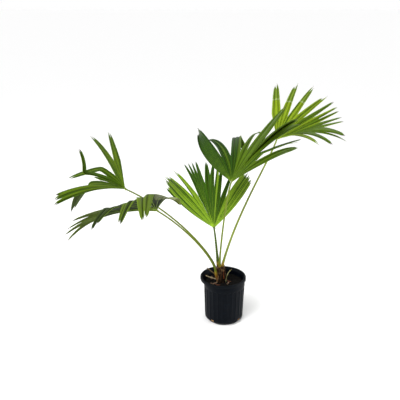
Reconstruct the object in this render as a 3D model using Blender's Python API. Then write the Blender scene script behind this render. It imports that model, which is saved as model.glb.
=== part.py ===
"""Chinese fan palm with five fronds, potted in a nursery pot. Metres and degrees, +Z up, +Y to the back."""
from dataclasses import dataclass
from math import cos, pi, radians, sin

import bmesh
import bpy
import numpy as np

for old in list(bpy.data.objects):
    bpy.data.objects.remove(old)

GAP = 0.0004

# Nursery pot
POT_SIDES = 48
POT_HEIGHT = 0.220
LIP_RADIUS = 0.108
LIP_HEIGHT = 0.014
LIP_WIDTH = 0.009
LIP_ROUNDING = 0.003
LIP_SHIFT = -0.0065
NECK_SHIFT = 0.7 * LIP_SHIFT
COLLAR_BOTTOM = 0.178
COLLAR_RADIUS = 0.0965
COLLAR_STEP = 0.0006
NECK_RADIUS = COLLAR_RADIUS + 0.001
NECK_HEIGHT = 0.001
BODY_RADIUS_LOW = 0.0905
CHAMFER_HEIGHT = 0.015
FOOT_RADIUS = 0.078
WALL = 0.0022
FLOOR_THICKNESS = 0.003
FLUTE_DEPTH = 0.0010
FLUTES_FROM = CHAMFER_HEIGHT + 0.006
FLUTES_TO = COLLAR_BOTTOM - 0.004
DRAIN_HOLES = 4
DRAIN_TURN = 50
DRAIN_WIDTH = 0.014
DRAIN_HEIGHT = 0.009
DRAIN_LENGTH = 0.012
DRAIN_INSET = 0.002

# Potting soil and trunk
SOIL_TOP = 0.188
SOIL_EDGE_DROP = 0.004
SOIL_EDGE_WIDTH = 0.014
SOIL_SIDES = 24
TRUNK_X = -0.018
TRUNK_TOP = 0.270
TRUNK_RADIUS_LOW = 0.0185
TRUNK_RADIUS_TOP = 0.0165
TRUNK_SWELL = ((0, 1.04), (0.2, 0.97), (0.55, 1.0), (0.85, 0.97), (1, 0.9))
TRUNK_SIDES = 14

# Fronds
BLADE_THICKNESS = 0.003
BLADE_START = 0.036
BLADE_STEP = 0.045
BORDER_INSET = 0.0014
TWIST_OVER = 0.15
TOUCH = 0.004
STALK_INTO_BLADE = 0.030
COSTA_RADII = (0.0028, 0.0015)
STALK_STEPS = 9
STALK_SIDES = 8
STUB_STEPS = 4
STUB_SIDES = 7
STUB_TAPER = 0.35
TUBE_SIDE = (0.02, -1, 0.03)

POT_BLACK = (0.012, 0.016, 0.019)
SOIL_BROWN = (0.09, 0.055, 0.03)
TRUNK_BROWN = (0.13, 0.05, 0.02)
STRAW = (0.45, 0.36, 0.18)
OLIVE = (0.23, 0.27, 0.04)
LEAF_GREEN = (0.07, 0.16, 0.02)


@dataclass
class Leaflet:
    """Angle from the frond's axis, and how the leaflet droops, turns, folds at a crease and twists."""
    angle: float
    length: float
    droop: float = 0
    sweep: float = 0
    crease: float = 0
    crease_at: float = 1.1
    twist: float = 0


@dataclass
class Lobe:
    """Leaflets from first to last, grown together for the share joined, and parted from the next lobe."""
    name: str
    first: Leaflet
    last: Leaflet = None
    leaflets: int = 1
    joined: float = 0.9
    parted: float = 0
    taper: float = 0.85


@dataclass
class Frond:
    name: str
    hub: tuple
    heading: float
    rise: float
    roll: float
    cupped: tuple
    lobes: tuple


FAR_LEFT = Frond("far_left", (-0.465, 0.100, 0.620), -174, 33, 15, (10, 25), (
    Lobe("arching_back", Leaflet(47, 0.383, 55, -10, twist=15), Leaflet(33, 0.364, 40, 10, twist=15), 3, 0.9, 0.275, 0.4),
    Lobe("hanging", Leaflet(25, 0.355, 50, 25, 55, 0.5, -50), parted=0.130, taper=0.6),
    Lobe("short", Leaflet(11, 0.155, 20, -15), parted=0.130),
    Lobe("upturned", Leaflet(-1, 0.330, 65, -5, -100, 0.62, 50), parted=0.095, taper=0.35),
    Lobe("curled", Leaflet(-23, 0.346, 0, 47, 58, 0.42, 25), parted=0.080, taper=0.6),
    Lobe("upright_left", Leaflet(-41, 0.345, 30, 0), parted=0.155, taper=0.65),
    Lobe("upright_left", Leaflet(-53, 0.332, 15, -5), taper=0.6),
))
LOW_LEFT = Frond("low_left", (-0.300, -0.150, 0.605), -157, 10, -25, (15, 5), (
    Lobe("crest", Leaflet(79, 0.355, 40, 10, 5, 0.45), Leaflet(69, 0.370, 25, 20, 10, 0.45),
         2, 0.85, 0.230),
    Lobe("hanging_pair", Leaflet(61, 0.415, 15, 0, 40, 0.55), Leaflet(53, 0.415, 38, 15, 28, 0.62),
         2, 0.8, 0.215, 0.9),
    Lobe("hanging_mid", Leaflet(42, 0.372, 30, -5, 35, 0.6, 10), parted=0.225, taper=0.9),
    Lobe("hanging_left", Leaflet(29, 0.422, 45, -5, 15, 0.65, 20), parted=0.235, taper=0.9),
    Lobe("long_tips", Leaflet(16, 0.385, 25, -20), Leaflet(9, 0.410, 35, -5), 2, 0.8, 0.330),
    Lobe("long_tips", Leaflet(2, 0.415, 40, 0), Leaflet(-7, 0.420, 50, 20), 2, 0.8),
))
CENTRE = Frond("centre", (-0.050, 0.050, 0.445), 87, 49, -8, (30, 15), (
    Lobe("left_wing", Leaflet(75, 0.330, -10, -22), Leaflet(47, 0.337, 35, -5), 5, 0.93, 0.175),
    Lobe("left_finger", Leaflet(38, 0.340, 20, 5), parted=0.170),
    Lobe("left_band", Leaflet(27, 0.352, 25, -5), Leaflet(19, 0.350, 10, -5), 4, 0.8, 0.225),
    Lobe("middle", Leaflet(12, 0.350, 10, -10), Leaflet(6, 0.350, 5, -10), 2, 0.78, 0.205),
    Lobe("middle", Leaflet(0, 0.355, 10, -5), Leaflet(-6, 0.345, 20, 0), 2, 0.8, 0.160),
    Lobe("right_finger", Leaflet(-13, 0.340, 25, -5), parted=0.165),
    Lobe("right_wing", Leaflet(-20, 0.355, 20, -10), Leaflet(-46, 0.325, 20, 25), 5, 0.93),
))
NEAR_RIGHT = Frond("near_right", (0.015, -0.170, 0.740), 14, 32, -27, (0, 15), (
    Lobe("left_wing", Leaflet(103, 0.452, 30, -35), Leaflet(80, 0.390, 5, 10), 5, 0.95, 0.150),
    Lobe("curled", Leaflet(67, 0.445, 45, 35), Leaflet(59, 0.420, 40, 50), 2, 0.9, 0.145),
    Lobe("folded_over", Leaflet(52, 0.500, 74, 30, 110, 0.83), Leaflet(45, 0.500, 74, 42, 110, 0.83),
         2, 0.95, 0.170, 0.3),
    Lobe("back_finger", Leaflet(39, 0.445, 60, 15), parted=0.170),
    Lobe("raised", Leaflet(33, 0.438, 5, -15), Leaflet(27, 0.387, -30, -25), 2, 0.93, 0.240),
    Lobe("reaching", Leaflet(22, 0.475, 35, 0), Leaflet(17.5, 0.435, 28, -5), 2, 0.93, 0.170),
    Lobe("drooping", Leaflet(12, 0.500, 20, 22, 32, 0.35, -35), parted=0.190),
    Lobe("drooping", Leaflet(8.5, 0.480, 15, 20, 30, 0.38, -35), parted=0.135),
    Lobe("drooping", Leaflet(3, 0.370, 50, 10), Leaflet(-5, 0.350, 40, 20), 2, 0.85),
))
FAR_RIGHT = Frond("far_right", (0.260, 0.290, 0.815), 0, 21, -20, (25, 35), (
    Lobe("top", Leaflet(73, 0.366, 20, 0), parted=0.150, taper=0.6),
    Lobe("top", Leaflet(55, 0.358, 15, 0), parted=0.135, taper=0.6),
    Lobe("upper", Leaflet(41, 0.364, 15, 0), parted=0.165, taper=0.65),
    Lobe("upper", Leaflet(27, 0.355, 15, 0), parted=0.165, taper=0.65),
    Lobe("outer", Leaflet(16, 0.345, 5, 5), parted=0.205),
    Lobe("outer", Leaflet(8, 0.350, 10, 15), parted=0.220),
    Lobe("outer", Leaflet(0, 0.345, 10, 25), parted=0.215),
    Lobe("outer", Leaflet(-8, 0.325, 5, 15), parted=0.210),
    Lobe("outer", Leaflet(-17, 0.325, 5, 5), parted=0.240),
    Lobe("near", Leaflet(-28, 0.365, 35, -20), parted=0.270),
    Lobe("near", Leaflet(-38, 0.370, 50, 10), parted=0.205),
    Lobe("near", Leaflet(-46, 0.365, 45, -15), parted=0.185),
    Lobe("near", Leaflet(-55, 0.345, 40, -15)),
))
FRONDS = (FAR_LEFT, LOW_LEFT, CENTRE, NEAR_RIGHT, FAR_RIGHT)


@dataclass
class Stalk:
    """Leaves the trunk from start towards (heading, rise) for reach, and ends at the frond's hub."""
    frond: Frond
    start: tuple
    leaving: tuple
    arriving: tuple
    thick: float = 0.0061
    thin: float = 0.0040


STALKS = (
    Stalk(FAR_LEFT, (-0.0405, 0.010, 0.246), (90, 80, 0.06), (-183, 24, 0.26)),
    Stalk(LOW_LEFT, (-0.0400, -0.009, 0.238), (-90, 82, 0.07), (-140, 37, 0.22)),
    Stalk(CENTRE, (-0.0290, 0.008, 0.2745), (158, 81, 0.05), (106, 54, 0.06)),
    Stalk(NEAR_RIGHT, (-0.0230, -0.011, 0.2775), (-98, 55, 0.12), (-84, 30, 0.12)),
    Stalk(FAR_RIGHT, (-0.0095, 0.004, 0.2760), (58, 60, 0.26), (25, 72, 0.10)),
)


@dataclass
class Stub:
    """The dried base of a frond that has gone."""
    name: str
    start: tuple
    heading: float
    rise: float
    length: float
    curl: float
    radius: float


STUBS = (
    Stub("dry_stub_left_high", (-0.0460, 0.004, 0.228), 175, 38, 0.046, 10, 0.0036),
    Stub("dry_stub_left_low", (-0.0440, -0.010, 0.210), 190, 25, 0.050, -12, 0.0034),
    Stub("dry_stub_right", (0.0070, -0.004, 0.196), -5, 66, 0.066, 45, 0.0036),
)


def unit(heading, rise):
    a, r = radians(heading), radians(rise)
    return np.array([cos(r) * cos(a), cos(r) * sin(a), sin(r)])


def solid(name, verts, faces, colour, roughness=0.6):
    """One closed named body with its own plain material."""
    mesh = bpy.data.meshes.new(name)
    mesh.from_pydata([tuple(v) for v in verts], [], faces)
    shell = bmesh.new()
    shell.from_mesh(mesh)
    bmesh.ops.triangulate(shell, faces=[f for f in shell.faces if len(f.verts) > 3])
    bmesh.ops.recalc_face_normals(shell, faces=shell.faces)
    shell.to_mesh(mesh)
    shell.free()
    obj = bpy.data.objects.new(name, mesh)
    bpy.context.scene.collection.objects.link(obj)
    material = bpy.data.materials.new(name)
    material.use_nodes = True
    shader = material.node_tree.nodes["Principled BSDF"]
    shader.inputs["Base Color"].default_value = (*colour, 1)
    shader.inputs["Roughness"].default_value = roughness
    mesh.materials.append(material)
    return obj


def tube(name, centres, radii, sides, colour):
    """A closed tube along centres."""
    centres = [np.array(c, float) for c in centres]
    verts, faces = [], []
    side = None
    for i, centre in enumerate(centres):
        ahead = centres[min(i + 1, len(centres) - 1)] - centres[max(i - 1, 0)]
        ahead /= np.linalg.norm(ahead)
        if side is None:
            side = np.cross(ahead, TUBE_SIDE)
        side -= ahead * (side @ ahead)
        side /= np.linalg.norm(side)
        up = np.cross(side, ahead)
        for k in range(sides):
            turn = 2 * pi * k / sides
            verts.append(centre + radii[i] * (cos(turn) * side + sin(turn) * up))
    for i in range(len(centres) - 1):
        for k in range(sides):
            a, b = i * sides + k, i * sides + (k + 1) % sides
            faces.append((a, b, b + sides, a + sides))
    faces.append(tuple(range(sides))[::-1])
    faces.append(tuple(range((len(centres) - 1) * sides, len(centres) * sides)))
    return solid(name, verts, faces, colour)


def frond_axes(frond):
    """The axis along the frond, the normal of its upper face and the direction to its left."""
    along = unit(frond.heading, frond.rise)
    level = unit(frond.heading, frond.rise + 90)
    tilt = radians(frond.roll)
    normal = level * cos(tilt) + np.cross(level, along) * sin(tilt)
    return along, normal, np.cross(normal, along)


def rib(frond, leaf, steps=24):
    """Distances, points and normals along a leaflet's rib, from the hub to the tip."""
    along, normal, left = frond_axes(frond)
    side = 1 if leaf.angle >= 0 else -1
    cup = radians(frond.cupped[0] if side > 0 else frond.cupped[1]) * min(1, abs(leaf.angle) / 30)
    outward = side * left * cos(cup) + normal * sin(cup)
    face = normal * cos(cup) - side * left * sin(cup)
    spread = radians(abs(leaf.angle))
    start = along * cos(spread) + outward * sin(spread)
    across = np.cross(face, start)
    point = np.array(frond.hub)
    distances, points, normals = [0.0], [point], [face]
    folded_at = min(leaf.crease_at, 0.5)
    for i in range(steps):
        share = (i + 0.5) / steps
        turn = radians(leaf.sweep) * share
        bend = radians(leaf.droop) * share ** 1.5 + radians(leaf.crease) * (share > leaf.crease_at)
        level = start * cos(turn) + across * sin(turn)
        ahead = level * cos(bend) - face * sin(bend)
        twist = radians(leaf.twist) * min(1, max(0, (share - folded_at) / TWIST_OVER))
        flat = face * cos(bend) + level * sin(bend)
        point = point + ahead * leaf.length / steps
        distances.append(leaf.length * (i + 1) / steps)
        points.append(point)
        normals.append(flat * cos(twist) + np.cross(flat, ahead) * sin(twist))
    return np.array(distances), np.array(points), np.array(normals)


def at(track, distance):
    """Point and normal of a rib at a distance from the hub."""
    distances, points, normals = track
    point = np.array([np.interp(distance, distances, points[:, k]) for k in range(3)])
    normal = np.array([np.interp(distance, distances, normals[:, k]) for k in range(3)])
    return point, normal / np.linalg.norm(normal)


def leaflets_of(lobe):
    """The lobe's leaflets, worked out between its first and its last."""
    if lobe.last is None:
        return [lobe.first]
    ends = [np.array([l.angle, l.length, l.droop, l.sweep, l.crease, l.crease_at, l.twist])
            for l in (lobe.first, lobe.last)]
    shares = np.linspace(0, 1, lobe.leaflets)
    return [Leaflet(*(ends[0] * (1 - s) + ends[1] * s)) for s in shares]


def rib_frame(track, distance):
    """A rib's point there, the direction across it and its normal."""
    centre, normal = at(track, distance)
    ahead = at(track, distance + TOUCH)[0] - at(track, distance - TOUCH)[0]
    return centre, np.cross(normal, ahead / np.linalg.norm(ahead)), normal


def local_offset(track, distance, point):
    """A point's offset from the rib, as parts along the rib's own across and normal directions."""
    centre, across, normal = rib_frame(track, distance)
    return np.array([(point - centre) @ across, (point - centre) @ normal])


def placed(track, distance, offset):
    centre, across, normal = rib_frame(track, distance)
    return centre + across * offset[0] + normal * offset[1]


def frond_blades(frond):
    """One thin closed blade for each named lobe, with its edges where the leaflets meet or part."""
    tracks, leaves, names, parts, tapers = [], [], [], [], []
    for lobe in frond.lobes:
        made = leaflets_of(lobe)
        for i, leaf in enumerate(made):
            leaves.append(leaf)
            tracks.append(rib(frond, leaf))
            names.append(lobe.name)
            tapers.append(lobe.taper)
            inside = i < len(made) - 1
            shortest = min(leaf.length, made[min(i + 1, len(made) - 1)].length)
            parts.append(lobe.joined * shortest if inside else lobe.parted)
    count = len(leaves)

    def stations(i):
        return np.arange(BLADE_START, leaves[i].length - 0.4 * BLADE_STEP, BLADE_STEP)

    def snapped(distance):
        return BLADE_START + BLADE_STEP * round((distance - BLADE_START) / BLADE_STEP)

    def edge(i, side, distance):
        """The leaflet's edge on side +1 (left) or -1 (right)."""
        other = i - side
        outer = other < 0 or other >= count
        if outer:
            twin = i + side
            meet = snapped(parts[min(i, twin)])
            across, lift = edge_offset(i, twin, min(distance, meet))
            offset = np.array([-across, lift])
        else:
            meet = snapped(parts[min(i, other)])
            offset = edge_offset(i, other, min(distance, meet))
            if distance <= meet and names[i] == names[other]:
                return (at(tracks[i], distance)[0] + at(tracks[other], distance)[0]) / 2
        beyond = max(0.0, distance - meet) / (leaves[i].length - meet)
        offset = offset * (1 - beyond) ** tapers[i]
        if outer or names[i] != names[other]:
            offset = offset * (1 - min(0.35, BORDER_INSET / max(abs(offset[0]), 1e-6)))
        return placed(tracks[i], distance, offset)

    def edge_offset(i, other, distance):
        middle = (at(tracks[i], distance)[0] + at(tracks[other], distance)[0]) / 2
        return local_offset(tracks[i], distance, middle)

    for name in dict.fromkeys(names):
        members = [i for i in range(count) if names[i] == name]
        points, normals, index, quads = [], [], {}, []

        def vertex(key, point, normal):
            if key not in index:
                index[key] = len(points)
                points.append(point)
                normals.append(normal)
            return index[key]

        for i in members:
            rows = stations(i)
            previous = None
            for row, distance in enumerate(rows):
                normal = at(tracks[i], distance)[1]
                pair = []
                for side in (1, -1):
                    other = i - side
                    welded = (other in members
                              and distance <= snapped(parts[min(i, other)]) + 1e-6)
                    key = (min(i, other), row) if welded else (i, side, row)
                    pair.append(vertex(key, edge(i, side, distance), normal))
                if previous:
                    quads.append((previous[0], previous[1], pair[1], pair[0]))
                previous = pair
            tip, normal = at(tracks[i], leaves[i].length)
            end = vertex((i, "tip"), tip, normal)
            quads.append((previous[0], previous[1], end))
        yield name, thickened(points, normals, quads)


def thickened(points, normals, faces):
    """Verts and faces of the closed blade on both sides of a sheet."""
    count = len(points)
    half = BLADE_THICKNESS / 2
    verts = [p + n * half for p, n in zip(points, normals)] + [p - n * half for p, n in zip(points, normals)]
    both = [tuple(f) for f in faces] + [tuple(v + count for v in reversed(f)) for f in faces]
    edges = {edge: None for face in faces for edge in zip(face, face[1:] + face[:1])}
    for a, b in edges:
        if (b, a) not in edges:
            both.append((b, a, a + count, b + count))
    return verts, both


def bezier(start, leaving, arriving, end, steps):
    """A smooth path whose ends point along (heading, rise) for a given reach."""
    a = np.array(start)
    d = np.array(end)
    b = a + unit(*leaving[:2]) * leaving[2]
    c = d - unit(*arriving[:2]) * arriving[2]
    for s in np.linspace(0, 1, steps + 1):
        yield (1 - s) ** 3 * a + 3 * s * (1 - s) ** 2 * b + 3 * s * s * (1 - s) * c + s ** 3 * d


def make_stalk(stalk):
    """A petiole from the trunk to the hub, running a little way into the blade as its costa."""
    along = frond_axes(stalk.frond)[0]
    hub = np.array(stalk.frond.hub)
    centres = list(bezier(stalk.start, stalk.leaving, stalk.arriving, hub, STALK_STEPS))
    radii = list(np.linspace(stalk.thick, stalk.thin, len(centres)))
    for i, radius in enumerate(COSTA_RADII):
        centres.append(hub + along * STALK_INTO_BLADE * (i + 1) / len(COSTA_RADII))
        radii.append(radius)
    tube("petiole_" + stalk.frond.name, centres, radii, STALK_SIDES, OLIVE)


def make_stub(stub):
    point = np.array(stub.start)
    centres, radii = [], []
    for share in np.linspace(0, 1, STUB_STEPS + 1):
        centres.append(point)
        radii.append(stub.radius * (1 - STUB_TAPER * share))
        point = point + unit(stub.heading, stub.rise + stub.curl * (0.5 - share)) * stub.length / STUB_STEPS
    tube(stub.name, centres, radii, STUB_SIDES, STRAW)


def revolved(name, profile, sides, colour, flutes=()):
    """A body turned from (radius, height, sideways shift) rows; rows in flutes alternate in radius."""
    verts, faces = [], []
    for row, (radius, height, shift) in enumerate(profile):
        for k in range(sides):
            turn = 2 * pi * k / sides
            deep = FLUTE_DEPTH if row in flutes and k % 2 else 0
            verts.append((shift + (radius - deep) * cos(turn), (radius - deep) * sin(turn), height))
    for i in range(len(profile) - 1):
        for k in range(sides):
            a, b = i * sides + k, i * sides + (k + 1) % sides
            faces.append((a, b, b + sides, a + sides))
    for row, centre in ((0, profile[0]), (len(profile) - 1, profile[-1])):
        verts.append((centre[2], 0, centre[1]))
        for k in range(sides):
            faces.append((row * sides + k, row * sides + (k + 1) % sides, len(verts) - 1))
    return solid(name, verts, faces, colour)


def pot_profile():
    """Up the outside from the middle of the underside, over the lip and down the inside."""
    lip_bottom = POT_HEIGHT - LIP_HEIGHT
    return [
        (FOOT_RADIUS, 0, 0),
        (BODY_RADIUS_LOW, CHAMFER_HEIGHT, 0),
        (BODY_RADIUS_LOW + COLLAR_STEP, FLUTES_FROM, 0),
        (COLLAR_RADIUS - COLLAR_STEP, FLUTES_TO, 0),
        (COLLAR_RADIUS + COLLAR_STEP, COLLAR_BOTTOM, 0),
        (NECK_RADIUS, lip_bottom - NECK_HEIGHT, NECK_SHIFT),
        (LIP_RADIUS, lip_bottom, LIP_SHIFT),
        (LIP_RADIUS, POT_HEIGHT - LIP_ROUNDING, LIP_SHIFT),
        (LIP_RADIUS - LIP_ROUNDING, POT_HEIGHT, LIP_SHIFT),
        (LIP_RADIUS - LIP_WIDTH, POT_HEIGHT, LIP_SHIFT),
        (NECK_RADIUS - WALL, lip_bottom - NECK_HEIGHT * 2, NECK_SHIFT),
        (COLLAR_RADIUS - WALL - FLUTE_DEPTH, COLLAR_BOTTOM, 0),
        (BODY_RADIUS_LOW - WALL - FLUTE_DEPTH, CHAMFER_HEIGHT + WALL, 0),
        (FOOT_RADIUS - WALL / 2, FLOOR_THICKNESS, 0),
    ]


def make_pot():
    pot = revolved("nursery_pot", pot_profile(), POT_SIDES, POT_BLACK, flutes=(2, 3))
    middle = BODY_RADIUS_LOW - DRAIN_INSET
    for k in range(DRAIN_HOLES):
        turn = 2 * pi * k / DRAIN_HOLES + radians(DRAIN_TURN)
        bpy.ops.mesh.primitive_cube_add(size=1)
        cutter = bpy.context.object
        cutter.name = f"drain_cutter_{k}"
        cutter.scale = (DRAIN_LENGTH, DRAIN_WIDTH, DRAIN_HEIGHT)
        cutter.rotation_euler = (0, -pi / 4, turn)
        cutter.location = (middle * cos(turn), middle * sin(turn), CHAMFER_HEIGHT)
        bpy.ops.object.transform_apply(location=False, rotation=False, scale=True)
        cutter.hide_render = True
        cutter.display_type = "WIRE"
        cut = pot.modifiers.new("drain hole", "BOOLEAN")
        cut.operation = "DIFFERENCE"
        cut.solver = "EXACT"
        cut.object = cutter


def make_soil():
    """The soil fills the pot to below the lip, a little clear of the wall."""
    inset = WALL + FLUTE_DEPTH + GAP * 2
    low = BODY_RADIUS_LOW - inset
    high = COLLAR_RADIUS - inset
    profile = [
        (FOOT_RADIUS - inset, FLOOR_THICKNESS + GAP, 0),
        (low, CHAMFER_HEIGHT + SOIL_EDGE_DROP, 0),
        (high, COLLAR_BOTTOM, 0),
        (high - GAP * 2, SOIL_TOP - SOIL_EDGE_DROP, NECK_SHIFT / 4),
        (high - SOIL_EDGE_WIDTH, SOIL_TOP, 0),
    ]
    revolved("potting_soil", profile, SOIL_SIDES, SOIL_BROWN)


def make_trunk():
    """The short fibrous trunk stands on the soil."""
    foot = SOIL_TOP + GAP
    centres = [(TRUNK_X, 0, foot + share * (TRUNK_TOP - foot)) for share, swell in TRUNK_SWELL]
    taper = TRUNK_RADIUS_TOP - TRUNK_RADIUS_LOW
    radii = [(TRUNK_RADIUS_LOW + share * taper) * swell for share, swell in TRUNK_SWELL]
    tube("trunk", centres, radii, TRUNK_SIDES, TRUNK_BROWN)


make_pot()
make_soil()
make_trunk()
for stub in STUBS:
    make_stub(stub)
for stalk in STALKS:
    make_stalk(stalk)
for frond in FRONDS:
    for name, (verts, faces) in frond_blades(frond):
        solid(f"frond_{frond.name}_{name}", verts, faces, LEAF_GREEN)
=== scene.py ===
"""Looks of the potted chinese fan palm. Metres and degrees, +Z up, +Y to the back, origin under the pot."""
from dataclasses import dataclass
from math import cos, pi, radians, sin

import bmesh
import bpy
import numpy as np
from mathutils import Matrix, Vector, noise


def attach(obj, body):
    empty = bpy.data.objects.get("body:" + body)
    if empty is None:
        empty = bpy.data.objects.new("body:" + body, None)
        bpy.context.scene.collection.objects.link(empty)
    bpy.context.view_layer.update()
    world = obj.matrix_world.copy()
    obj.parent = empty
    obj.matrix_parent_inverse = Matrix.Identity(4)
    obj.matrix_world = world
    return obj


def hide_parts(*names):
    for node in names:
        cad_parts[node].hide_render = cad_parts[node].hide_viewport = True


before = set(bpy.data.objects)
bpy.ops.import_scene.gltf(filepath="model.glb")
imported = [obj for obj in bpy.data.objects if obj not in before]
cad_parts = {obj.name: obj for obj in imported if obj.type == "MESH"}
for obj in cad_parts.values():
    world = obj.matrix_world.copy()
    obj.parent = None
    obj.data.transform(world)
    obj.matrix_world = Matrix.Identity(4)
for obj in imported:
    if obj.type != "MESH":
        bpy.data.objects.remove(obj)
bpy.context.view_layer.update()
SEED = 7
GOLDEN_TURN = radians(137.5)

# Camera that draws the pot's rim and foot as the photo does
CAMERA_PLACE = (-0.1154, -2.37, 1.42)
CAMERA_DOWN = 19.1
CAMERA_LENS = 50

# Nursery pot
POT_HEIGHT = 0.220
LIP_RADIUS = 0.108
LIP_HEIGHT = 0.014
LIP_WIDTH = 0.009
LIP_SHIFT = -0.0065
NECK_SHIFT = 0.7 * LIP_SHIFT
NECK_RADIUS = 0.0975
COLLAR_BOTTOM = 0.178
COLLAR_RADIUS = 0.0965
BODY_RADIUS_LOW = 0.0905
CHAMFER_HEIGHT = 0.015
FOOT_RADIUS = 0.078
FOOT_RECESS = 0.0012
FOOT_ROUND = 0.0006
FLOOR_TOP = 0.0030
SKIRT_HALF = 0.0016
SKIRT_RISE = 0.0020
POT_WALL = 0.0016
FLUTES = 26
FLUTE_DEPTH = 0.0020
FLUTE_HALF_WIDTH = 0.80
ARCH_HEIGHT = 0.006
DRAIN_HOLES = 4
DRAIN_TURN = 50

# Rows and columns of the pot's mesh, with the lip's inner rows and a drain hole's place
POT_COLUMNS = FLUTES * 12
LIP_ROWS = 10
DRAIN_COLUMNS = 9
DRAIN_FROM = 4
DRAIN_ROWS = 7

# Soil and trunk
SOIL_TOP = 0.188
SOIL_COLUMNS = 144
TAN_ROWS = 5
TRUNK_X = -0.018
TRUNK_TOP = 0.270
TRUNK_RADIUS_LOW = 0.0185
TRUNK_RADIUS_TOP = 0.0165
RINGS_PER_METRE = 58
SHEATHS = 9
SHEATH_THICKNESS = 0.0007
FIBRES = 190
FRAYS = 9
CHIPS_PER_SQUARE_METRE = 42000.0
CHIP_SMALLEST = (0.0008, 0.0006, 0.0004)
CHIP_LARGEST = (0.0034, 0.0020, 0.0012)
CHIP_TURN = 6.28

# Leaf blades
BLADE_START = 0.004
ROW_STEP = 0.009
BLADE_THICKNESS = 0.0006
END_WIDTH = 0.30
FOLD_AT_HUB = 36
FOLD_OUTSIDE = 15
FOLD_OVER = (0.02, 0.18)
TWIST_OVER = 0.15
TIPS_SHORTER = (0.02, 0.08)
BIFID_FROM = 0.95
BIFID_WIDTH = 0.5
DRY_FROM = 0.98
ROUNDED = 0.12

# The midrib under each pleat: the share of the pleat it runs for, how far below, and its radius
RIB_TO = 0.93
RIB_BELOW = 0.0006
RIB_TAPER = 0.0012
RIB_LEAST = 0.0003
RIB_SIDES = 5

# Shares of a leaf's own colour: its mottling, painted shade in the fold, a painted highlight on the ridge and
# the duller underside
MOTTLED = (0.60, 1.40)
FOLD_PAINTED_SHADE = 0.42
RIDGE_PAINTED_HIGHLIGHT = 1.9
UNDERSIDE_DULL = 0.82
VEINS = 11

# Leaf wax bends light less than glass, so that leaves seen edge-on keep their green
LEAF_IOR = 1.28

# Petioles: where the foot's colours and flare end, how it starts in the trunk, teeth, costa and collar
STALK_COLOURED = 0.20
STALK_SUNK = 0.055
STALK_INSET = 0.003
FOOT_FLARE = 0.55
FLARE_OVER = (0.03, 0.12)
TEETH_FROM = 0.09
TEETH_TO = 0.55
TOOTH_SPACING = 0.0095
TOOTH_LENGTH = 0.0030
TOOTH_WIDTH = 0.0011
COSTA_REACH = (0.006, 0.085)
COSTA_DEPTH = (0.001, 0.004)
COSTA_STEPS = 10
COSTA_TIP = 0.0008
HASTULA_HALF_WIDTH = 0.0085
HASTULA_HEIGHT = 0.0055

# Material slots of a blade, each followed by the slot of its underside
# The pale crease slot is a painted highlight: a pale band across a leaflet where it bends.
DEEP, FRESH, PAINTED_HIGHLIGHT, TIP, DRY = 0, 2, 4, 6, 8


@dataclass
class Leaflet:
    """Angle from the frond's axis, how it droops, turns, folds at a crease and twists, and where a painted
    highlight lies across it.
    """
    angle: float
    length: float
    droop: float = 0
    sweep: float = 0
    crease: float = 0
    crease_at: float = 1.1
    twist: float = 0
    highlight_from: float = 1.1
    highlight_to: float = 1.1


@dataclass
class Lobe:
    """Leaflets from first to last, grown together for the share joined, and parted from the next lobe."""
    name: str
    first: Leaflet
    last: Leaflet = None
    leaflets: int = 1
    joined: float = 0.9
    parted: float = 0
    taper: float = 0.85
    pleats: int = 1
    split: float = 0.86
    fresh: float = 0.4


@dataclass
class Frond:
    name: str
    hub: tuple
    heading: float
    rise: float
    roll: float
    cupped: tuple
    lobes: tuple


FAR_LEFT = Frond("far_left", (-0.465, 0.100, 0.620), -174, 33, 15, (10, 25), (
    Lobe("arching_back", Leaflet(47, 0.383, 55, -10, twist=15), Leaflet(33, 0.364, 40, 10, twist=15),
         3, 0.9, 0.275, 0.4),
    Lobe("hanging", Leaflet(25, 0.355, 50, 25, 55, 0.5, -50), parted=0.130, taper=0.6, pleats=2),
    Lobe("short", Leaflet(11, 0.155, 20, -15), parted=0.130),
    Lobe("upturned", Leaflet(-1, 0.330, 65, -5, -100, 0.62, 50), parted=0.095, taper=0.35),
    Lobe("curled", Leaflet(-23, 0.346, 0, 47, 58, 0.42, 25), parted=0.080, taper=0.6, pleats=2),
    Lobe("upright_left", Leaflet(-41, 0.345, 30, 0, highlight_from=0.6, highlight_to=0.6),
         parted=0.155, taper=0.65, pleats=2),
    Lobe("upright_left", Leaflet(-53, 0.332, 15, -5, highlight_from=0.6, highlight_to=0.6), taper=0.6, pleats=2),
))
LOW_LEFT = Frond("low_left", (-0.300, -0.150, 0.605), -157, 10, -25, (15, 5), (
    Lobe("crest", Leaflet(79, 0.355, 40, 10, 5, 0.45, highlight_from=0.42, highlight_to=0.8),
         Leaflet(69, 0.370, 25, 20, 10, 0.45, highlight_from=0.36, highlight_to=0.8), 2, 0.85, 0.230),
    Lobe("hanging_pair", Leaflet(61, 0.415, 15, 0, 40, 0.55), Leaflet(53, 0.415, 38, 15, 28, 0.62),
         2, 0.8, 0.215, 0.9, fresh=1),
    Lobe("hanging_mid", Leaflet(42, 0.372, 30, -5, 35, 0.6, 10),
         parted=0.225, taper=0.9, pleats=2, split=0.94, fresh=0.8),
    Lobe("hanging_left", Leaflet(29, 0.422, 45, -5, 15, 0.65, 20),
         parted=0.235, taper=0.9, pleats=2, split=0.94, fresh=0.7),
    Lobe("long_tips", Leaflet(16, 0.385, 25, -20, highlight_from=0.6, highlight_to=0.6),
         Leaflet(9, 0.410, 35, -5, highlight_from=0.6, highlight_to=0.6), 2, 0.8, 0.330, fresh=0.1),
    Lobe("long_tips", Leaflet(2, 0.415, 40, 0, highlight_from=0.6, highlight_to=0.6),
         Leaflet(-7, 0.420, 50, 20, highlight_from=0.6, highlight_to=0.6), 2, 0.8, fresh=0.1),
))
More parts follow.
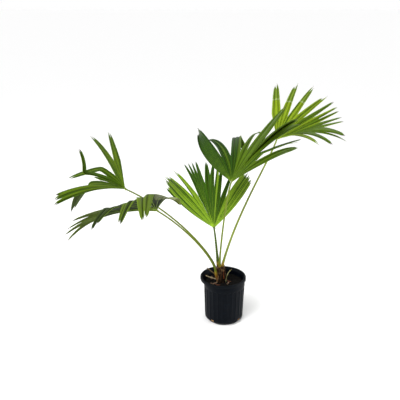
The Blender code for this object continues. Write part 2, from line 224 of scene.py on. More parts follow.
CENTRE = Frond("centre", (-0.050, 0.050, 0.445), 87, 49, -8, (30, 15), (
    Lobe("left_wing", Leaflet(75, 0.330, -10, -22), Leaflet(47, 0.337, 35, -5),
         5, 0.93, 0.175, pleats=2, split=0.93, fresh=0.8),
    Lobe("left_finger", Leaflet(38, 0.340, 20, 5), parted=0.170, pleats=2),
    Lobe("left_band", Leaflet(27, 0.352, 25, -5), Leaflet(19, 0.350, 10, -5), 4, 0.8, 0.225, fresh=0),
    Lobe("middle", Leaflet(12, 0.350, 10, -10), Leaflet(6, 0.350, 5, -10), 2, 0.78, 0.205, fresh=0),
    Lobe("middle", Leaflet(0, 0.355, 10, -5), Leaflet(-6, 0.345, 20, 0), 2, 0.8, 0.160, fresh=0.2),
    Lobe("right_finger", Leaflet(-13, 0.340, 25, -5), parted=0.165),
    Lobe("right_wing", Leaflet(-20, 0.355, 20, -10), Leaflet(-46, 0.325, 20, 25),
         5, 0.93, pleats=2, split=0.95, fresh=0.8),
))
NEAR_RIGHT = Frond("near_right", (0.015, -0.170, 0.740), 14, 32, -27, (0, 15), (
    Lobe("left_wing", Leaflet(103, 0.452, 30, -35), Leaflet(80, 0.390, 5, 10),
         5, 0.95, 0.150, pleats=2, split=0.96, fresh=0),
    Lobe("curled", Leaflet(67, 0.445, 45, 35), Leaflet(59, 0.420, 40, 50), 2, 0.9, 0.145),
    Lobe("folded_over", Leaflet(52, 0.500, 74, 30, 110, 0.83), Leaflet(45, 0.500, 74, 42, 110, 0.83),
         2, 0.95, 0.170, 0.3, fresh=0.2),
    Lobe("back_finger", Leaflet(39, 0.445, 60, 15), parted=0.170),
    Lobe("raised", Leaflet(33, 0.438, 5, -15), Leaflet(27, 0.387, -30, -25), 2, 0.93, 0.240, fresh=1),
    Lobe("reaching", Leaflet(22, 0.475, 35, 0), Leaflet(17.5, 0.435, 28, -5), 2, 0.93, 0.170, fresh=1),
    Lobe("drooping", Leaflet(12, 0.500, 20, 22, 32, 0.35, -35), parted=0.190, fresh=0.8),
    Lobe("drooping", Leaflet(8.5, 0.480, 15, 20, 30, 0.38, -35), parted=0.135, fresh=0.8),
    Lobe("drooping", Leaflet(3, 0.370, 50, 10), Leaflet(-5, 0.350, 40, 20), 2, 0.85, fresh=1),
))
FAR_RIGHT = Frond("far_right", (0.260, 0.290, 0.815), 0, 21, -20, (25, 35), (
    Lobe("top", Leaflet(73, 0.366, 20, 0, highlight_from=0.66, highlight_to=0.68),
         parted=0.150, taper=0.6, pleats=2, fresh=0.9),
    Lobe("top", Leaflet(55, 0.358, 15, 0, highlight_from=0.62, highlight_to=0.64),
         parted=0.135, taper=0.6, pleats=2, fresh=0.9),
    Lobe("upper", Leaflet(41, 0.364, 15, 0, highlight_from=0.66, highlight_to=0.68),
         parted=0.165, taper=0.65, pleats=2, fresh=0.9),
    Lobe("upper", Leaflet(27, 0.355, 15, 0), parted=0.165, taper=0.65, pleats=2),
    Lobe("outer", Leaflet(16, 0.345, 5, 5), parted=0.205),
    Lobe("outer", Leaflet(8, 0.350, 10, 15), parted=0.220),
    Lobe("outer", Leaflet(0, 0.345, 10, 25), parted=0.215),
    Lobe("outer", Leaflet(-8, 0.325, 5, 15), parted=0.210),
    Lobe("outer", Leaflet(-17, 0.325, 5, 5), parted=0.240),
    Lobe("near", Leaflet(-28, 0.365, 35, -20), parted=0.270),
    Lobe("near", Leaflet(-38, 0.370, 50, 10), parted=0.205, pleats=2),
    Lobe("near", Leaflet(-46, 0.365, 45, -15), parted=0.185),
    Lobe("near", Leaflet(-55, 0.345, 40, -15), pleats=2),
))
FRONDS = (FAR_LEFT, LOW_LEFT, CENTRE, NEAR_RIGHT, FAR_RIGHT)


@dataclass
class Stalk:
    """Leaves the trunk from start towards (heading, rise) for a reach, and ends at the frond's hub."""
    frond: Frond
    start: tuple
    leaving: tuple
    arriving: tuple
    thick: float = 0.0061
    thin: float = 0.0040
    green: tuple = (0.100, 0.134, 0.008)


STALKS = (
    Stalk(FAR_LEFT, (-0.0405, 0.010, 0.246), (90, 80, 0.06), (-183, 24, 0.26)),
    Stalk(LOW_LEFT, (-0.0400, -0.009, 0.238), (-90, 82, 0.07), (-140, 37, 0.22)),
    # The centre petiole's darker green is painted shade.
    Stalk(CENTRE, (-0.0290, 0.008, 0.2745), (158, 81, 0.05), (106, 54, 0.06),
          green=(0.040, 0.070, 0.006)),
    Stalk(NEAR_RIGHT, (-0.0230, -0.011, 0.2775), (-98, 55, 0.12), (-84, 30, 0.12),
          green=(0.120, 0.162, 0.012)),
    Stalk(FAR_RIGHT, (-0.0095, 0.004, 0.2760), (58, 60, 0.26), (25, 72, 0.10),
          green=(0.150, 0.190, 0.020)),
)


@dataclass
class Stub:
    """The dried base of a frond that has gone."""
    name: str
    start: tuple
    heading: float
    rise: float
    length: float
    curl: float
    radius: float


STUBS = (
    Stub("dry_stub_left_high", (-0.0460, 0.004, 0.228), 175, 38, 0.046, 10, 0.0036),
    Stub("dry_stub_left_low", (-0.0440, -0.010, 0.210), 190, 25, 0.050, -12, 0.0034),
    Stub("dry_stub_right", (0.0070, -0.004, 0.196), -5, 66, 0.066, 45, 0.0036),
)

# Straps of split sheath on the trunk: (turn, half width, low, high, finish)
BROWN, RUST, TAN, DARK = range(4)
STRAPS = (
    (-49, 9, 0.212, 0.251, RUST), (-63, 22, 0.250, 0.262, TAN), (-70, 6, 0.192, 0.258, DARK),
    (-84, 7, 0.196, 0.247, BROWN), (-101, 8, 0.205, 0.262, BROWN), (-113, 5, 0.190, 0.250, DARK),
    (-128, 8, 0.192, 0.232, TAN), (-145, 9, 0.200, 0.262, RUST), (-28, 7, 0.191, 0.252, DARK),
    (-12, 9, 0.200, 0.256, BROWN), (14, 8, 0.193, 0.240, TAN), (40, 10, 0.200, 0.262, RUST),
    (66, 7, 0.192, 0.245, DARK), (92, 9, 0.198, 0.260, BROWN), (121, 8, 0.193, 0.238, TAN),
    (150, 9, 0.202, 0.262, RUST), (178, 7, 0.192, 0.250, DARK),
)

# Scraps of dead leaf on the soil, tan and reddish in turn: (x, y, heading, length, width)
SCRAPS = (
    (-0.050, -0.030, 20, 0.032, 0.007), (-0.034, -0.044, -25, 0.028, 0.006),
    (0.014, -0.034, 60, 0.018, 0.006), (0.022, -0.010, 140, 0.022, 0.006),
    (-0.060, 0.020, 80, 0.026, 0.007), (-0.012, 0.046, 10, 0.028, 0.008),
)


def unit(heading, rise):
    """The direction with this heading on the floor and this rise above it."""
    a, r = radians(heading), radians(rise)
    return np.array([cos(r) * cos(a), cos(r) * sin(a), sin(r)])


def smooth(low, high, x):
    """0 below low, rising smoothly to 1 above high."""
    t = np.clip((x - low) / (high - low), 0, 1)
    return t * t * (3 - 2 * t)


def lumps(points, scale, detail=2):
    """Smooth noise from -1 to 1 at each point, with this many features in a metre."""
    flat = np.asarray(points).reshape(-1, 3) * scale
    values = [noise.fractal(Vector(p), 0.7, 2.0, detail) for p in flat]
    return np.array(values).reshape(np.shape(points)[:-1])


# Shader expressions

class Socket:
    """A shader output that takes part in Python arithmetic."""

    def __init__(self, finish, out):
        self.finish = finish
        self.out = out

    def math(self, operation, *values):
        return self.finish.node("ShaderNodeMath", {"operation": operation}, values)

    def __add__(self, other):
        return self.math("ADD", self, other)

    __radd__ = __add__

    def __sub__(self, other):
        return self.math("SUBTRACT", self, other)

    def __rsub__(self, other):
        return self.math("SUBTRACT", other, self)

    def __mul__(self, other):
        return self.math("MULTIPLY", self, other)

    __rmul__ = __mul__

    def waves(self):
        return self.math("SINE", self)

    def size(self):
        return self.math("ABSOLUTE", self)

    def clamped(self, low=0.0, high=1.0):
        return self.math("MINIMUM", self.math("MAXIMUM", self, low), high)

    def over(self, low, high):
        """0 below low, rising smoothly to 1 above high."""
        settings = {"interpolation_type": "SMOOTHSTEP"}
        values = {"Value": self, "From Min": low, "From Max": high}
        return self.finish.node("ShaderNodeMapRange", settings, values)


class Finish:
    """A material built round one Principled shader."""

    def __init__(self, name, **fixed):
        self.material = bpy.data.materials.new(name)
        self.material.use_nodes = True
        self.tree = self.material.node_tree
        self.shader = self.tree.nodes["Principled BSDF"]
        for key, value in fixed.items():
            self.put(self.shader.inputs[key.replace("_", " ")], value)

    def put(self, socket, value):
        if isinstance(value, Socket):
            self.tree.links.new(value.out, socket)
        elif isinstance(value, tuple) and socket.type == "RGBA":
            socket.default_value = (*value, 1)
        else:
            socket.default_value = value

    def node(self, kind, settings=None, values=(), output=0):
        made = self.tree.nodes.new(kind)
        for key, value in (settings or {}).items():
            if key == "stops":
                self.ramp_stops(made.color_ramp, value)
            else:
                setattr(made, key, value)
        for key, value in (values.items() if isinstance(values, dict) else enumerate(values)):
            self.put(made.inputs[key], value)
        return Socket(self, made.outputs[output])

    def ramp_stops(self, ramp, stops):
        while len(ramp.elements) < len(stops):
            ramp.elements.new(0.5)
        for element, (place, colour) in zip(ramp.elements, stops):
            element.position = place
            element.color = (*colour, 1)

    def mix(self, factor, a, b):
        return self.node("ShaderNodeMix", {"data_type": "RGBA"}, {0: factor, 6: a, 7: b}, output=2)

    def ramp(self, factor, *stops):
        return self.node("ShaderNodeValToRGB", {"stops": stops}, [factor])

    def noise(self, scale, detail=3, rough=0.55, stretch=(1, 1, 1)):
        """Noise with this many features in a metre."""
        place = self.node("ShaderNodeTexCoord", output=3)
        place = self.node("ShaderNodeMapping", values={0: place, 3: stretch})
        values = {"Vector": place, "Scale": scale, "Detail": detail, "Roughness": rough}
        return self.node("ShaderNodeTexNoise", values=values)

    def grain(self, scale, stretch):
        """Noise on the piece's own UV map, so that it follows the surface."""
        place = self.node("ShaderNodeUVMap", {"uv_map": "UVMap"})
        place = self.node("ShaderNodeMapping", values={0: place, 3: stretch})
        return self.node("ShaderNodeTexNoise", values={"Vector": place, "Scale": scale, "Detail": 3.0})

    def uv(self, part):
        place = self.node("ShaderNodeUVMap", {"uv_map": "UVMap"})
        return self.node("ShaderNodeSeparateXYZ", values=[place], output=part)

    def colour(self, value):
        self.put(self.shader.inputs["Base Color"], value)

    def rough(self, value):
        self.put(self.shader.inputs["Roughness"], value)

    def relief(self, height, distance, strength=1.0):
        values = {"Height": height, "Distance": distance, "Strength": strength}
        self.put(self.shader.inputs["Normal"], self.node("ShaderNodeBump", values=values))


def scaled(colour, by):
    return tuple(c * by for c in colour)


@dataclass
class LeafColours:
    """Deep and fresh greens of a frond, the painted highlight on its creases, its tips beyond a crease, and
    the undersides.
    """
    deep: tuple
    fresh: tuple
    crest_highlight: tuple
    tip: tuple
    under: tuple
    tip_under: tuple


DRY_LEAF = (0.085, 0.062, 0.040)
LEAF_COLOURS = {
    "far_left": LeafColours((0.034, 0.072, 0.001), (0.070, 0.120, 0.003), (0.11, 0.16, 0.03),
                            (0.056, 0.100, 0.005), (0.030, 0.052, 0.003), (0.045, 0.078, 0.004)),
    # low_left's undersides are darker than its faces: partly their own duller green and partly painted shade
    # under the arching blade.
    "low_left": LeafColours((0.020, 0.036, 0.003), (0.076, 0.122, 0.006), (0.19, 0.22, 0.085),
                            (0.085, 0.110, 0.012), (0.012, 0.020, 0.005), (0.060, 0.090, 0.010)),
    "centre": LeafColours((0.026, 0.072, 0.0005), (0.155, 0.260, 0.012), (0.33, 0.42, 0.12),
                          (0.120, 0.200, 0.015), (0.050, 0.092, 0.005), (0.085, 0.155, 0.008)),
    "near_right": LeafColours((0.014, 0.044, 0.0004), (0.052, 0.098, 0.002), (0.20, 0.28, 0.09),
                              (0.080, 0.135, 0.006), (0.045, 0.085, 0.005), (0.075, 0.130, 0.008)),
    # far_right's undersides are paler and yellower than its faces: partly their own paler green and partly
    # painted light shining through the leaf.
    "far_right": LeafColours((0.060, 0.112, 0.001), (0.150, 0.222, 0.006), (0.22, 0.29, 0.10),
                             (0.115, 0.180, 0.015), (0.105, 0.145, 0.010), (0.150, 0.210, 0.014)),
}


def leaf_finish(name, colour, underside):
    """Leaf skin: pleats with a painted highlight pale at the ridge and painted shade dark in the fold, fine
    veins, mottling and uneven gloss.
    """
    leaf = Finish(name, IOR=LEAF_IOR, Specular_IOR_Level=0.3)
    patches = leaf.noise(14, detail=5)
    broad = leaf.noise(4, detail=2)
    veins = (leaf.uv(0) * (2 * pi * VEINS)).waves()
    shade = (patches * 0.75 + broad * 0.55 - 0.15 + veins * 0.07).clamped()
    dull = UNDERSIDE_DULL if underside else 1.0
    green = leaf.mix(shade, *[scaled(colour, share * dull) for share in MOTTLED])
    from_fold = ((leaf.uv(0) - 0.5).size() * 2).clamped()
    # Painted shade darkens each pleat towards its fold, and a painted highlight lightens it at the ridge.
    folded = leaf.mix(from_fold.over(0.0, 0.35), scaled(colour, FOLD_PAINTED_SHADE * dull), green)
    leaf.colour(leaf.mix(from_fold.over(0.80, 1.0) * 0.75, folded, scaled(colour, RIDGE_PAINTED_HIGHLIGHT * dull)))
    leaf.rough((0.34 + patches * 0.24 + (0.12 if underside else 0.0)).clamped())
    leaf.relief(veins * 0.5 + patches * 0.4, 0.0006, 0.4)
    return leaf.material


def frond_finishes(frond_name):
    """The blade's finishes in slot order, face then underside of each tone."""
    colours = LEAF_COLOURS[frond_name]
    # The crease tone is a painted highlight, a pale band where a leaflet bends, with a darker copy for its
    # underside.
    tones = (("deep", colours.deep, colours.under), ("fresh", colours.fresh, scaled(colours.under, 1.5)),
             ("crease", colours.crest_highlight, scaled(colours.crest_highlight, 0.6)), ("tip", colours.tip, colours.tip_under),
             ("dry", DRY_LEAF, scaled(DRY_LEAF, 0.8)))
    made = []
    for tone, face, under in tones:
        made.append(leaf_finish(f"{frond_name}_{tone}_leaf", face, False))
        made.append(leaf_finish(f"{frond_name}_{tone}_leaf_underside", under, True))
    return made


def rib_finish(name, colour):
    """Stiff midrib, mottled along its length and paler than the leaf."""
    rib = Finish(name, IOR=LEAF_IOR, Roughness=0.4, Specular_IOR_Level=0.3)
    rib.colour(rib.mix(rib.noise(60).over(0.35, 0.7), colour, scaled(colour, 1.7)))
    return rib.material


def petiole_finish(name, green):
    """Smooth green stalk, brown in the trunk, rust and straw just above it, with streaks along it."""
    stalk = Finish(name, IOR=LEAF_IOR, Specular_IOR_Level=0.35)
    along = stalk.uv(1) * (1 / STALK_COLOURED)
    skin = stalk.ramp(along, (0.0, (0.10, 0.040, 0.012)), (0.20, (0.18, 0.075, 0.014)),
                      (0.30, (0.26, 0.17, 0.018)), (0.38, green), (1.0, scaled(green, 1.15)))
    streaks = stalk.grain(7, (2.0, 2.6, 1.0))
    freckles = stalk.noise(420, detail=2)
    darker = (streaks.over(0.45, 0.72) * 0.5 + freckles.over(0.62, 0.75) * 0.35).clamped()
    stalk.colour(stalk.mix(darker, skin, (0.045, 0.055, 0.008)))
    stalk.rough(0.30 + streaks * 0.25)
    stalk.relief(streaks + freckles * 0.3, 0.0007, 0.45)
    return stalk.material


@dataclass
class DryColours:
    """Light and dark fibres of dead palm tissue, and the patches on it."""
    light: tuple
    dark: tuple
    patch: tuple


DRY_COLOURS = {
    "trunk_fibre_mat": DryColours((0.022, 0.009, 0.004), (0.002, 0.0015, 0.001), (0.05, 0.014, 0.004)),
    "old_sheath": DryColours((0.030, 0.012, 0.005), (0.003, 0.002, 0.001), (0.08, 0.046, 0.020)),
    "torn_sheath": DryColours((0.060, 0.030, 0.014), (0.010, 0.006, 0.004), (0.30, 0.20, 0.09)),
    "sheath_fibre": DryColours((0.15, 0.080, 0.036), (0.020, 0.009, 0.005), (0.24, 0.17, 0.10)),
    "brown_strap": DryColours((0.052, 0.024, 0.010), (0.008, 0.004, 0.002), (0.040, 0.028, 0.016)),
    "rust_strap": DryColours((0.20, 0.050, 0.012), (0.060, 0.014, 0.005), (0.16, 0.060, 0.014)),
    "tan_strap": DryColours((0.30, 0.19, 0.085), (0.090, 0.048, 0.020), (0.22, 0.13, 0.05)),
    "dark_strap": DryColours((0.008, 0.005, 0.003), (0.003, 0.002, 0.0015), (0.012, 0.006, 0.004)),
    "stub_dark_tan": DryColours((0.26, 0.19, 0.09), (0.030, 0.018, 0.010), (0.20, 0.13, 0.06)),
    "stub_cream": DryColours((0.50, 0.44, 0.28), (0.20, 0.14, 0.07), (0.36, 0.30, 0.17)),
    "stub_olive_cream": DryColours((0.40, 0.38, 0.19), (0.10, 0.09, 0.025), (0.17, 0.16, 0.045)),
    "tan_dead_leaf": DryColours((0.24, 0.16, 0.11), (0.09, 0.055, 0.034), (0.19, 0.11, 0.07)),
    "reddish_dead_leaf": DryColours((0.14, 0.055, 0.030), (0.05, 0.020, 0.012), (0.17, 0.12, 0.06)),
}


def dry_finish(name):
    """Dead leaf base: papery, with long fibres, patches and a dull, uneven surface."""
    colours = DRY_COLOURS[name]
    base = Finish(name, IOR=LEAF_IOR, Specular_IOR_Level=0.2)
    fibres = base.noise(240, detail=4, stretch=(1, 1, 0.09))
    patches = base.noise(55, detail=3)
    body = base.mix(fibres.over(0.38, 0.66), colours.dark, colours.light)
    base.colour(base.mix(patches.over(0.52, 0.68) * 0.7, body, colours.patch))
    base.rough(0.72 + fibres * 0.2)
    base.relief(fibres, 0.0012, 0.8)
    return base.material


def plastic_finish(name, colour):
    """Moulded nursery plastic: satin, faintly scuffed and dusty, with lighter streaks that are partly scuffs
    and partly painted highlight.
    """
    plastic = Finish(name, IOR=1.34, Specular_IOR_Level=0.10)
    scuffs_and_sheen = plastic.noise(38, detail=6, rough=0.7, stretch=(1, 1, 3.2))
    dust = plastic.noise(16, detail=4)
    # Lighter streaks up to 3.2 times the plastic's colour: partly scuffs and partly painted highlight.
    grey = plastic.mix(scuffs_and_sheen.over(0.5, 0.75) * 0.6, colour, scaled(colour, 3.2))
    plastic.colour(plastic.mix(dust.over(0.55, 0.8) * 0.07, grey, (0.060, 0.058, 0.054)))
    plastic.rough((0.27 + scuffs_and_sheen * 0.3 + dust.over(0.5, 0.8) * 0.15).clamped())
    plastic.relief(scuffs_and_sheen, 0.0004, 0.3)
    return plastic.material


def soil_finish(name, dark, light):
    """Damp peat with lighter crumbs."""
    soil = Finish(name, Specular_IOR_Level=0.15)
    crumbs = soil.noise(330, detail=6, rough=0.7)
    damp = soil.noise(26, detail=3)
    lighter = (crumbs.over(0.45, 0.72) * 0.7 + damp.over(0.5, 0.8) * 0.3).clamped()
    soil.colour(soil.mix(lighter, dark, light))
    soil.rough(0.85 + crumbs * 0.1)
    soil.relief(crumbs, 0.0018, 0.9)
    return soil.material


# Mesh building

class Sheets:
    """Gathers many small grids of points into one mesh with UVs and a material slot for each face."""

    def __init__(self):
        self.verts, self.faces, self.uvs, self.slots = [], [], [], []
        self.count = 0

    def grid(self, points, uv, slots=0):
        """points is rows x columns x 3, uv has the same rows and columns, and slots fits the faces."""
        rows, columns = points.shape[:2]
        self.verts.append(points.reshape(-1, 3))
        self.uvs.append(uv.reshape(-1, 2))
        corner = np.arange(rows * columns).reshape(rows, columns) + self.count
        quads = np.stack([corner[:-1, :-1], corner[:-1, 1:], corner[1:, 1:], corner[1:, :-1]], axis=-1)
        self.faces.append(quads.reshape(-1, 4))
        self.slots.append(np.broadcast_to(slots, (rows - 1, columns - 1)).ravel())
        self.count += rows * columns

    def piece(self, name, *finishes):
        mesh = bpy.data.meshes.new(name)
        mesh.from_pydata(np.concatenate(self.verts).tolist(), [], np.concatenate(self.faces).tolist())
        layer = mesh.uv_layers.new(name="UVMap")
        index = np.empty(len(mesh.loops), np.int32)
        mesh.loops.foreach_get("vertex_index", index)
        layer.data.foreach_set("uv", np.concatenate(self.uvs)[index].ravel())
        for finish in finishes:
            mesh.materials.append(finish)
        mesh.polygons.foreach_set("material_index", np.concatenate(self.slots).astype(np.int32))
        mesh.shade_smooth()
        obj = bpy.data.objects.new(name, mesh)
        bpy.context.scene.collection.objects.link(obj)
        return obj


def welded(piece, within=1e-6):
    """Points this close become one, and the faces point outwards."""
    mesh = bmesh.new()
    mesh.from_mesh(piece.data)
    bmesh.ops.remove_doubles(mesh, verts=mesh.verts, dist=within)
    bmesh.ops.dissolve_degenerate(mesh, edges=mesh.edges, dist=1e-7)
    bmesh.ops.recalc_face_normals(mesh, faces=mesh.faces)
    mesh.to_mesh(piece.data)
    mesh.free()
    piece.data.shade_smooth()
    return piece


def thickened(piece, thickness, under_slot=0):
    """A thin sheet gets its other side, under_slot material slots further on."""
    shell = piece.modifiers.new("thickness", "SOLIDIFY")
    shell.thickness = thickness
    shell.offset = -1
    shell.material_offset = under_slot
    return piece


def placed(piece, slot, *nodes):
    """The piece rides on the plant's one body and takes the place of these nodes."""
    if nodes:
        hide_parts(*nodes)
    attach(piece, "root")


def upright(ups, ahead):
    """The upward directions, squared to the direction ahead."""
    ups = ups - ahead * (ups * ahead).sum(-1, keepdims=True)
    return ups / np.linalg.norm(ups, axis=-1, keepdims=True)


def headings_of(points):
    """The direction of a path at each of its points."""
    ahead = np.gradient(points, axis=0)
    return ahead / np.linalg.norm(ahead, axis=1)[:, None]


def channelled(turn):
    """Section of a palm stalk: rounded below, with sharp shoulders and a shallow channel on top."""
    wide = np.cos(turn)
    tall = np.sin(turn)
    channel = 0.30 * np.exp(-(wide / 0.5) ** 2)
    return wide, np.where(tall > 0, 0.62 * tall - channel * tall, 1.05 * tall)


def swept(sheets, points, ups, wide, tall, sides=20, slot=0):
    """A closed skin with a channelled section, carried along points with its top towards ups."""
    ahead = headings_of(points)
    ups = upright(ups, ahead)
    left = np.cross(ups, ahead)
    turns = np.linspace(0, 2 * pi, sides + 1)
    across, rise = channelled(turns)
    rings = (points[:, None] + left[:, None] * across[None, :, None] * wide[:, None, None]
             + ups[:, None] * rise[None, :, None] * tall[:, None, None])
    ends = [np.broadcast_to(points[i], (1, sides + 1, 3)) for i in (0, -1)]
    rings = np.concatenate([ends[0], rings, ends[1]])
    steps = np.concatenate([[0], np.linalg.norm(np.diff(points, axis=0), axis=1).cumsum()])
    steps = np.concatenate([[0], steps, [steps[-1]]])
    uv = np.stack(np.meshgrid(turns / (2 * pi), steps), axis=-1)
    sheets.grid(rings, uv, slot)
    return left, ups


# Geometry Nodes

class Growth:
    """A Geometry Nodes tree with named sizes, built node by node, that makes what grows on a piece."""

    def __init__(self, name, **sizes):
        self.tree = bpy.data.node_groups.new(name, "GeometryNodeTree")
        self.sizes = sizes
        for way in ("INPUT", "OUTPUT"):
            self.tree.interface.new_socket("Geometry", in_out=way, socket_type="NodeSocketGeometry")
        for key, value in sizes.items():
            kind = "NodeSocketInt" if isinstance(value, int) else "NodeSocketFloat"
            self.tree.interface.new_socket(key, in_out="INPUT", socket_type=kind)
        self.entry = self.tree.nodes.new("NodeGroupInput")

    def size(self, key):
        return self.entry.outputs[key]

    def node(self, kind, settings=None, output=0, **values):
        made = self.tree.nodes.new(kind)
        for key, value in (settings or {}).items():
            setattr(made, key, value)
        for key, value in values.items():
            usable = [s for s in made.inputs if s.enabled and s.name == key.replace("_", " ")]
            if isinstance(value, bpy.types.NodeSocket):
                self.tree.links.new(value, usable[0])
            else:
                usable[0].default_value = value
        return [s for s in made.outputs if s.enabled][output]

    def grown(self, piece, geometry, finish):
        """Ends the tree, runs it on the piece and leaves the result there as a plain mesh."""
        real = self.node("GeometryNodeRealizeInstances", Geometry=geometry)
        painted = self.node("GeometryNodeSetMaterial", Geometry=real, Material=finish)
        self.tree.links.new(painted, self.tree.nodes.new("NodeGroupOutput").inputs[0])
        modifier = piece.modifiers.new("growth", "NODES")
        modifier.node_group = self.tree
        for item in self.tree.interface.items_tree:
            if item.in_out == "INPUT" and item.name in self.sizes:
                modifier[item.identifier] = self.sizes[item.name]
        made = bpy.data.meshes.new_from_object(piece.evaluated_get(bpy.context.evaluated_depsgraph_get()))
        piece.modifiers.clear()
        piece.data = made
        return piece


def wires(name, paths, **marks):
    """An edge mesh of several paths, with a value or vector of each mark at each point."""
    points = np.concatenate(paths)
    ends = np.cumsum([len(p) for p in paths])
    starts = ends - [len(p) for p in paths]
    edges = [(k, k + 1) for a, b in zip(starts, ends) for k in range(a, b - 1)]
    mesh = bpy.data.meshes.new(name)
    mesh.from_pydata(points.tolist(), edges, [])
    for mark, values in marks.items():
        values = np.concatenate(values).astype(np.float32)
        vector = values.ndim == 2
        attribute = mesh.attributes.new(mark, "FLOAT_VECTOR" if vector else "FLOAT", "POINT")
        attribute.data.foreach_set("vector" if vector else "value", values.ravel())
    obj = bpy.data.objects.new(name, mesh)
    bpy.context.scene.collection.objects.link(obj)
    return obj


def strands(name, paths, radii, sides, finish):
    """A thin round strand along each path, with its radius at each point."""
    radii = [np.broadcast_to(r, len(p)) for p, r in zip(paths, radii)]
    growth = Growth(name + "_growth", Sides=sides)
    curve = growth.node("GeometryNodeMeshToCurve", Mesh=growth.size("Geometry"))
    ring = growth.node("GeometryNodeCurvePrimitiveCircle", Resolution=growth.size("Sides"), Radius=1.0)
    thick = growth.node("GeometryNodeInputNamedAttribute", {"data_type": "FLOAT"}, Name="thick")
    tube = growth.node("GeometryNodeCurveToMesh", Curve=curve, Profile_Curve=ring, Scale=thick,
                       Fill_Caps=True)
    soft = growth.node("GeometryNodeSetShadeSmooth", Geometry=tube)
    return growth.grown(wires(name, paths, thick=radii), soft, finish)


# Fronds

def frond_axes(frond):
    """The axis along the frond, the normal of its upper face and the direction to its left."""
    along = unit(frond.heading, frond.rise)
    level = unit(frond.heading, frond.rise + 90)
    tilt = radians(frond.roll)
    normal = level * cos(tilt) + np.cross(level, along) * sin(tilt)
    return along, normal, np.cross(normal, along)


class Rib:
    """A leaflet's midline: points, normals and sideways directions by distance from the hub."""

    def __init__(self, frond, leaf, steps=24):
        self.leaf = leaf
        along, normal, left = frond_axes(frond)
        side = 1 if leaf.angle >= 0 else -1
        cup = radians(frond.cupped[0] if side > 0 else frond.cupped[1]) * min(1, abs(leaf.angle) / 30)
        outward = side * left * cos(cup) + normal * sin(cup)
        face = normal * cos(cup) - side * left * sin(cup)
        spread = radians(abs(leaf.angle))
        start = along * cos(spread) + outward * sin(spread)
        across = np.cross(face, start)
        share = (np.arange(steps) + 0.5) / steps
        turn = radians(leaf.sweep) * share
        fold = smooth(leaf.crease_at - 0.03, leaf.crease_at + 0.03, share)
        bend = radians(leaf.droop) * share ** 1.5 + radians(leaf.crease) * fold
        level = start * np.cos(turn)[:, None] + across * np.sin(turn)[:, None]
        heading = level * np.cos(bend)[:, None] - face * np.sin(bend)[:, None]
        flat = face * np.cos(bend)[:, None] + level * np.sin(bend)[:, None]
        twist = radians(leaf.twist) * np.clip((share - min(leaf.crease_at, 0.5)) / TWIST_OVER, 0, 1)
        normals = flat * np.cos(twist)[:, None] + np.cross(flat, heading) * np.sin(twist)[:, None]
        self.distances = leaf.length * np.arange(steps + 1) / steps
        self.points = np.vstack([frond.hub, frond.hub + np.cumsum(heading, axis=0) * leaf.length / steps])
        self.normals = np.vstack([face, normals])
        self.headings = np.vstack([start, heading])

    def at(self, rows):
        """Points and frames at an array of distances."""
        def read(values):
            return np.stack([np.interp(rows, self.distances, values[:, k]) for k in range(3)], axis=1)
        ahead = read(self.headings)
        ahead /= np.linalg.norm(ahead, axis=1)[:, None]
        up = upright(read(self.normals), ahead)
        return read(self.points), up, np.cross(up, ahead), ahead


def leaflets_of(lobe):
    """The lobe's leaflets, worked out between its first and its last."""
    if lobe.last is None:
        return [lobe.first]
    ends = [np.array(list(vars(leaf).values())) for leaf in (lobe.first, lobe.last)]
    shares = np.linspace(0, 1, lobe.leaflets)
    return [Leaflet(*(ends[0] * (1 - s) + ends[1] * s)) for s in shares]


def fold_height(width, rows):
    """Half the depth of a pleat of this width: deep by the hub, shallow outside."""
    angle = FOLD_AT_HUB + (FOLD_OUTSIDE - FOLD_AT_HUB) * smooth(*FOLD_OVER, rows)
    return width / 4 * np.tan(np.radians(angle))


class Strip:
    """One leaflet with its place in the frond: its rib, its neighbours and where it parts from them."""

    def __init__(self, rib, lobe):
        self.rib = rib
        self.lobe = lobe
        self.neighbours = {1: None, -1: None}

    def edge(self, side, rows):
        """The edge on side +1 (left) or -1 (right) at each distance, and the lift of its ridge there."""
        other, meet = self.neighbours[side] or self.neighbours[-side]
        mirrored = self.neighbours[side] is None
        centre, up, across, ahead = self.rib.at(rows)
        inside = np.minimum(rows, meet)
        mine, theirs = self.rib.at(inside), other.at(inside)
        offset = (theirs[0] - mine[0]) / 2
        parts = [(offset * axis).sum(1) for axis in (mine[2], mine[1], mine[3])]
        if mirrored:
            parts[0] = -parts[0]
        beyond = np.clip((rows - meet) / (self.rib.leaf.length - meet), 0, 1)
        keep = END_WIDTH + (1 - END_WIDTH) * (1 - beyond) ** self.lobe.taper
        parts = [p * keep for p in parts]
        flat = centre + across * parts[0][:, None] + up * parts[1][:, None] + ahead * parts[2][:, None]
        crest = np.where((beyond > 0)[:, None] | mirrored, up, (mine[1] + theirs[1]) / 2)
        height = fold_height(2 * np.linalg.norm(offset, axis=1) * keep / self.lobe.pleats, inside)
        return flat, crest * height[:, None]


def strips_of(frond):
    """A strip for each of the frond's leaflets, from left to right, with each two neighbours joined."""
    made = []
    for lobe in frond.lobes:
        leaves = leaflets_of(lobe)
        for i, leaf in enumerate(leaves):
            made.append(Strip(Rib(frond, leaf), lobe))
            inside = i < len(leaves) - 1
            shorter = min(each.length for each in leaves[i:i + 2])
            made[-1].meet = lobe.joined * shorter if inside else lobe.parted
    for a, b in zip(made, made[1:]):
        meet = min(a.meet, a.rib.leaf.length * 0.97, b.rib.leaf.length * 0.97)
        a.neighbours[-1] = (b.rib, meet)
        b.neighbours[1] = (a.rib, meet)
    return made


def tones_along(leaf, rows, end, tone):
    """The material slot of each row of faces, from the hub to the tip."""
    share = (rows[:-1] + rows[1:]) / 2
    slots = np.full(len(share), tone)
    # Rows from highlight_from to highlight_to take the painted highlight.
    slots[share > leaf.highlight_from * leaf.length] = PAINTED_HIGHLIGHT
    slots[share > leaf.highlight_to * leaf.length] = TIP
    slots[share > DRY_FROM * end] = DRY
    return slots[:, None]


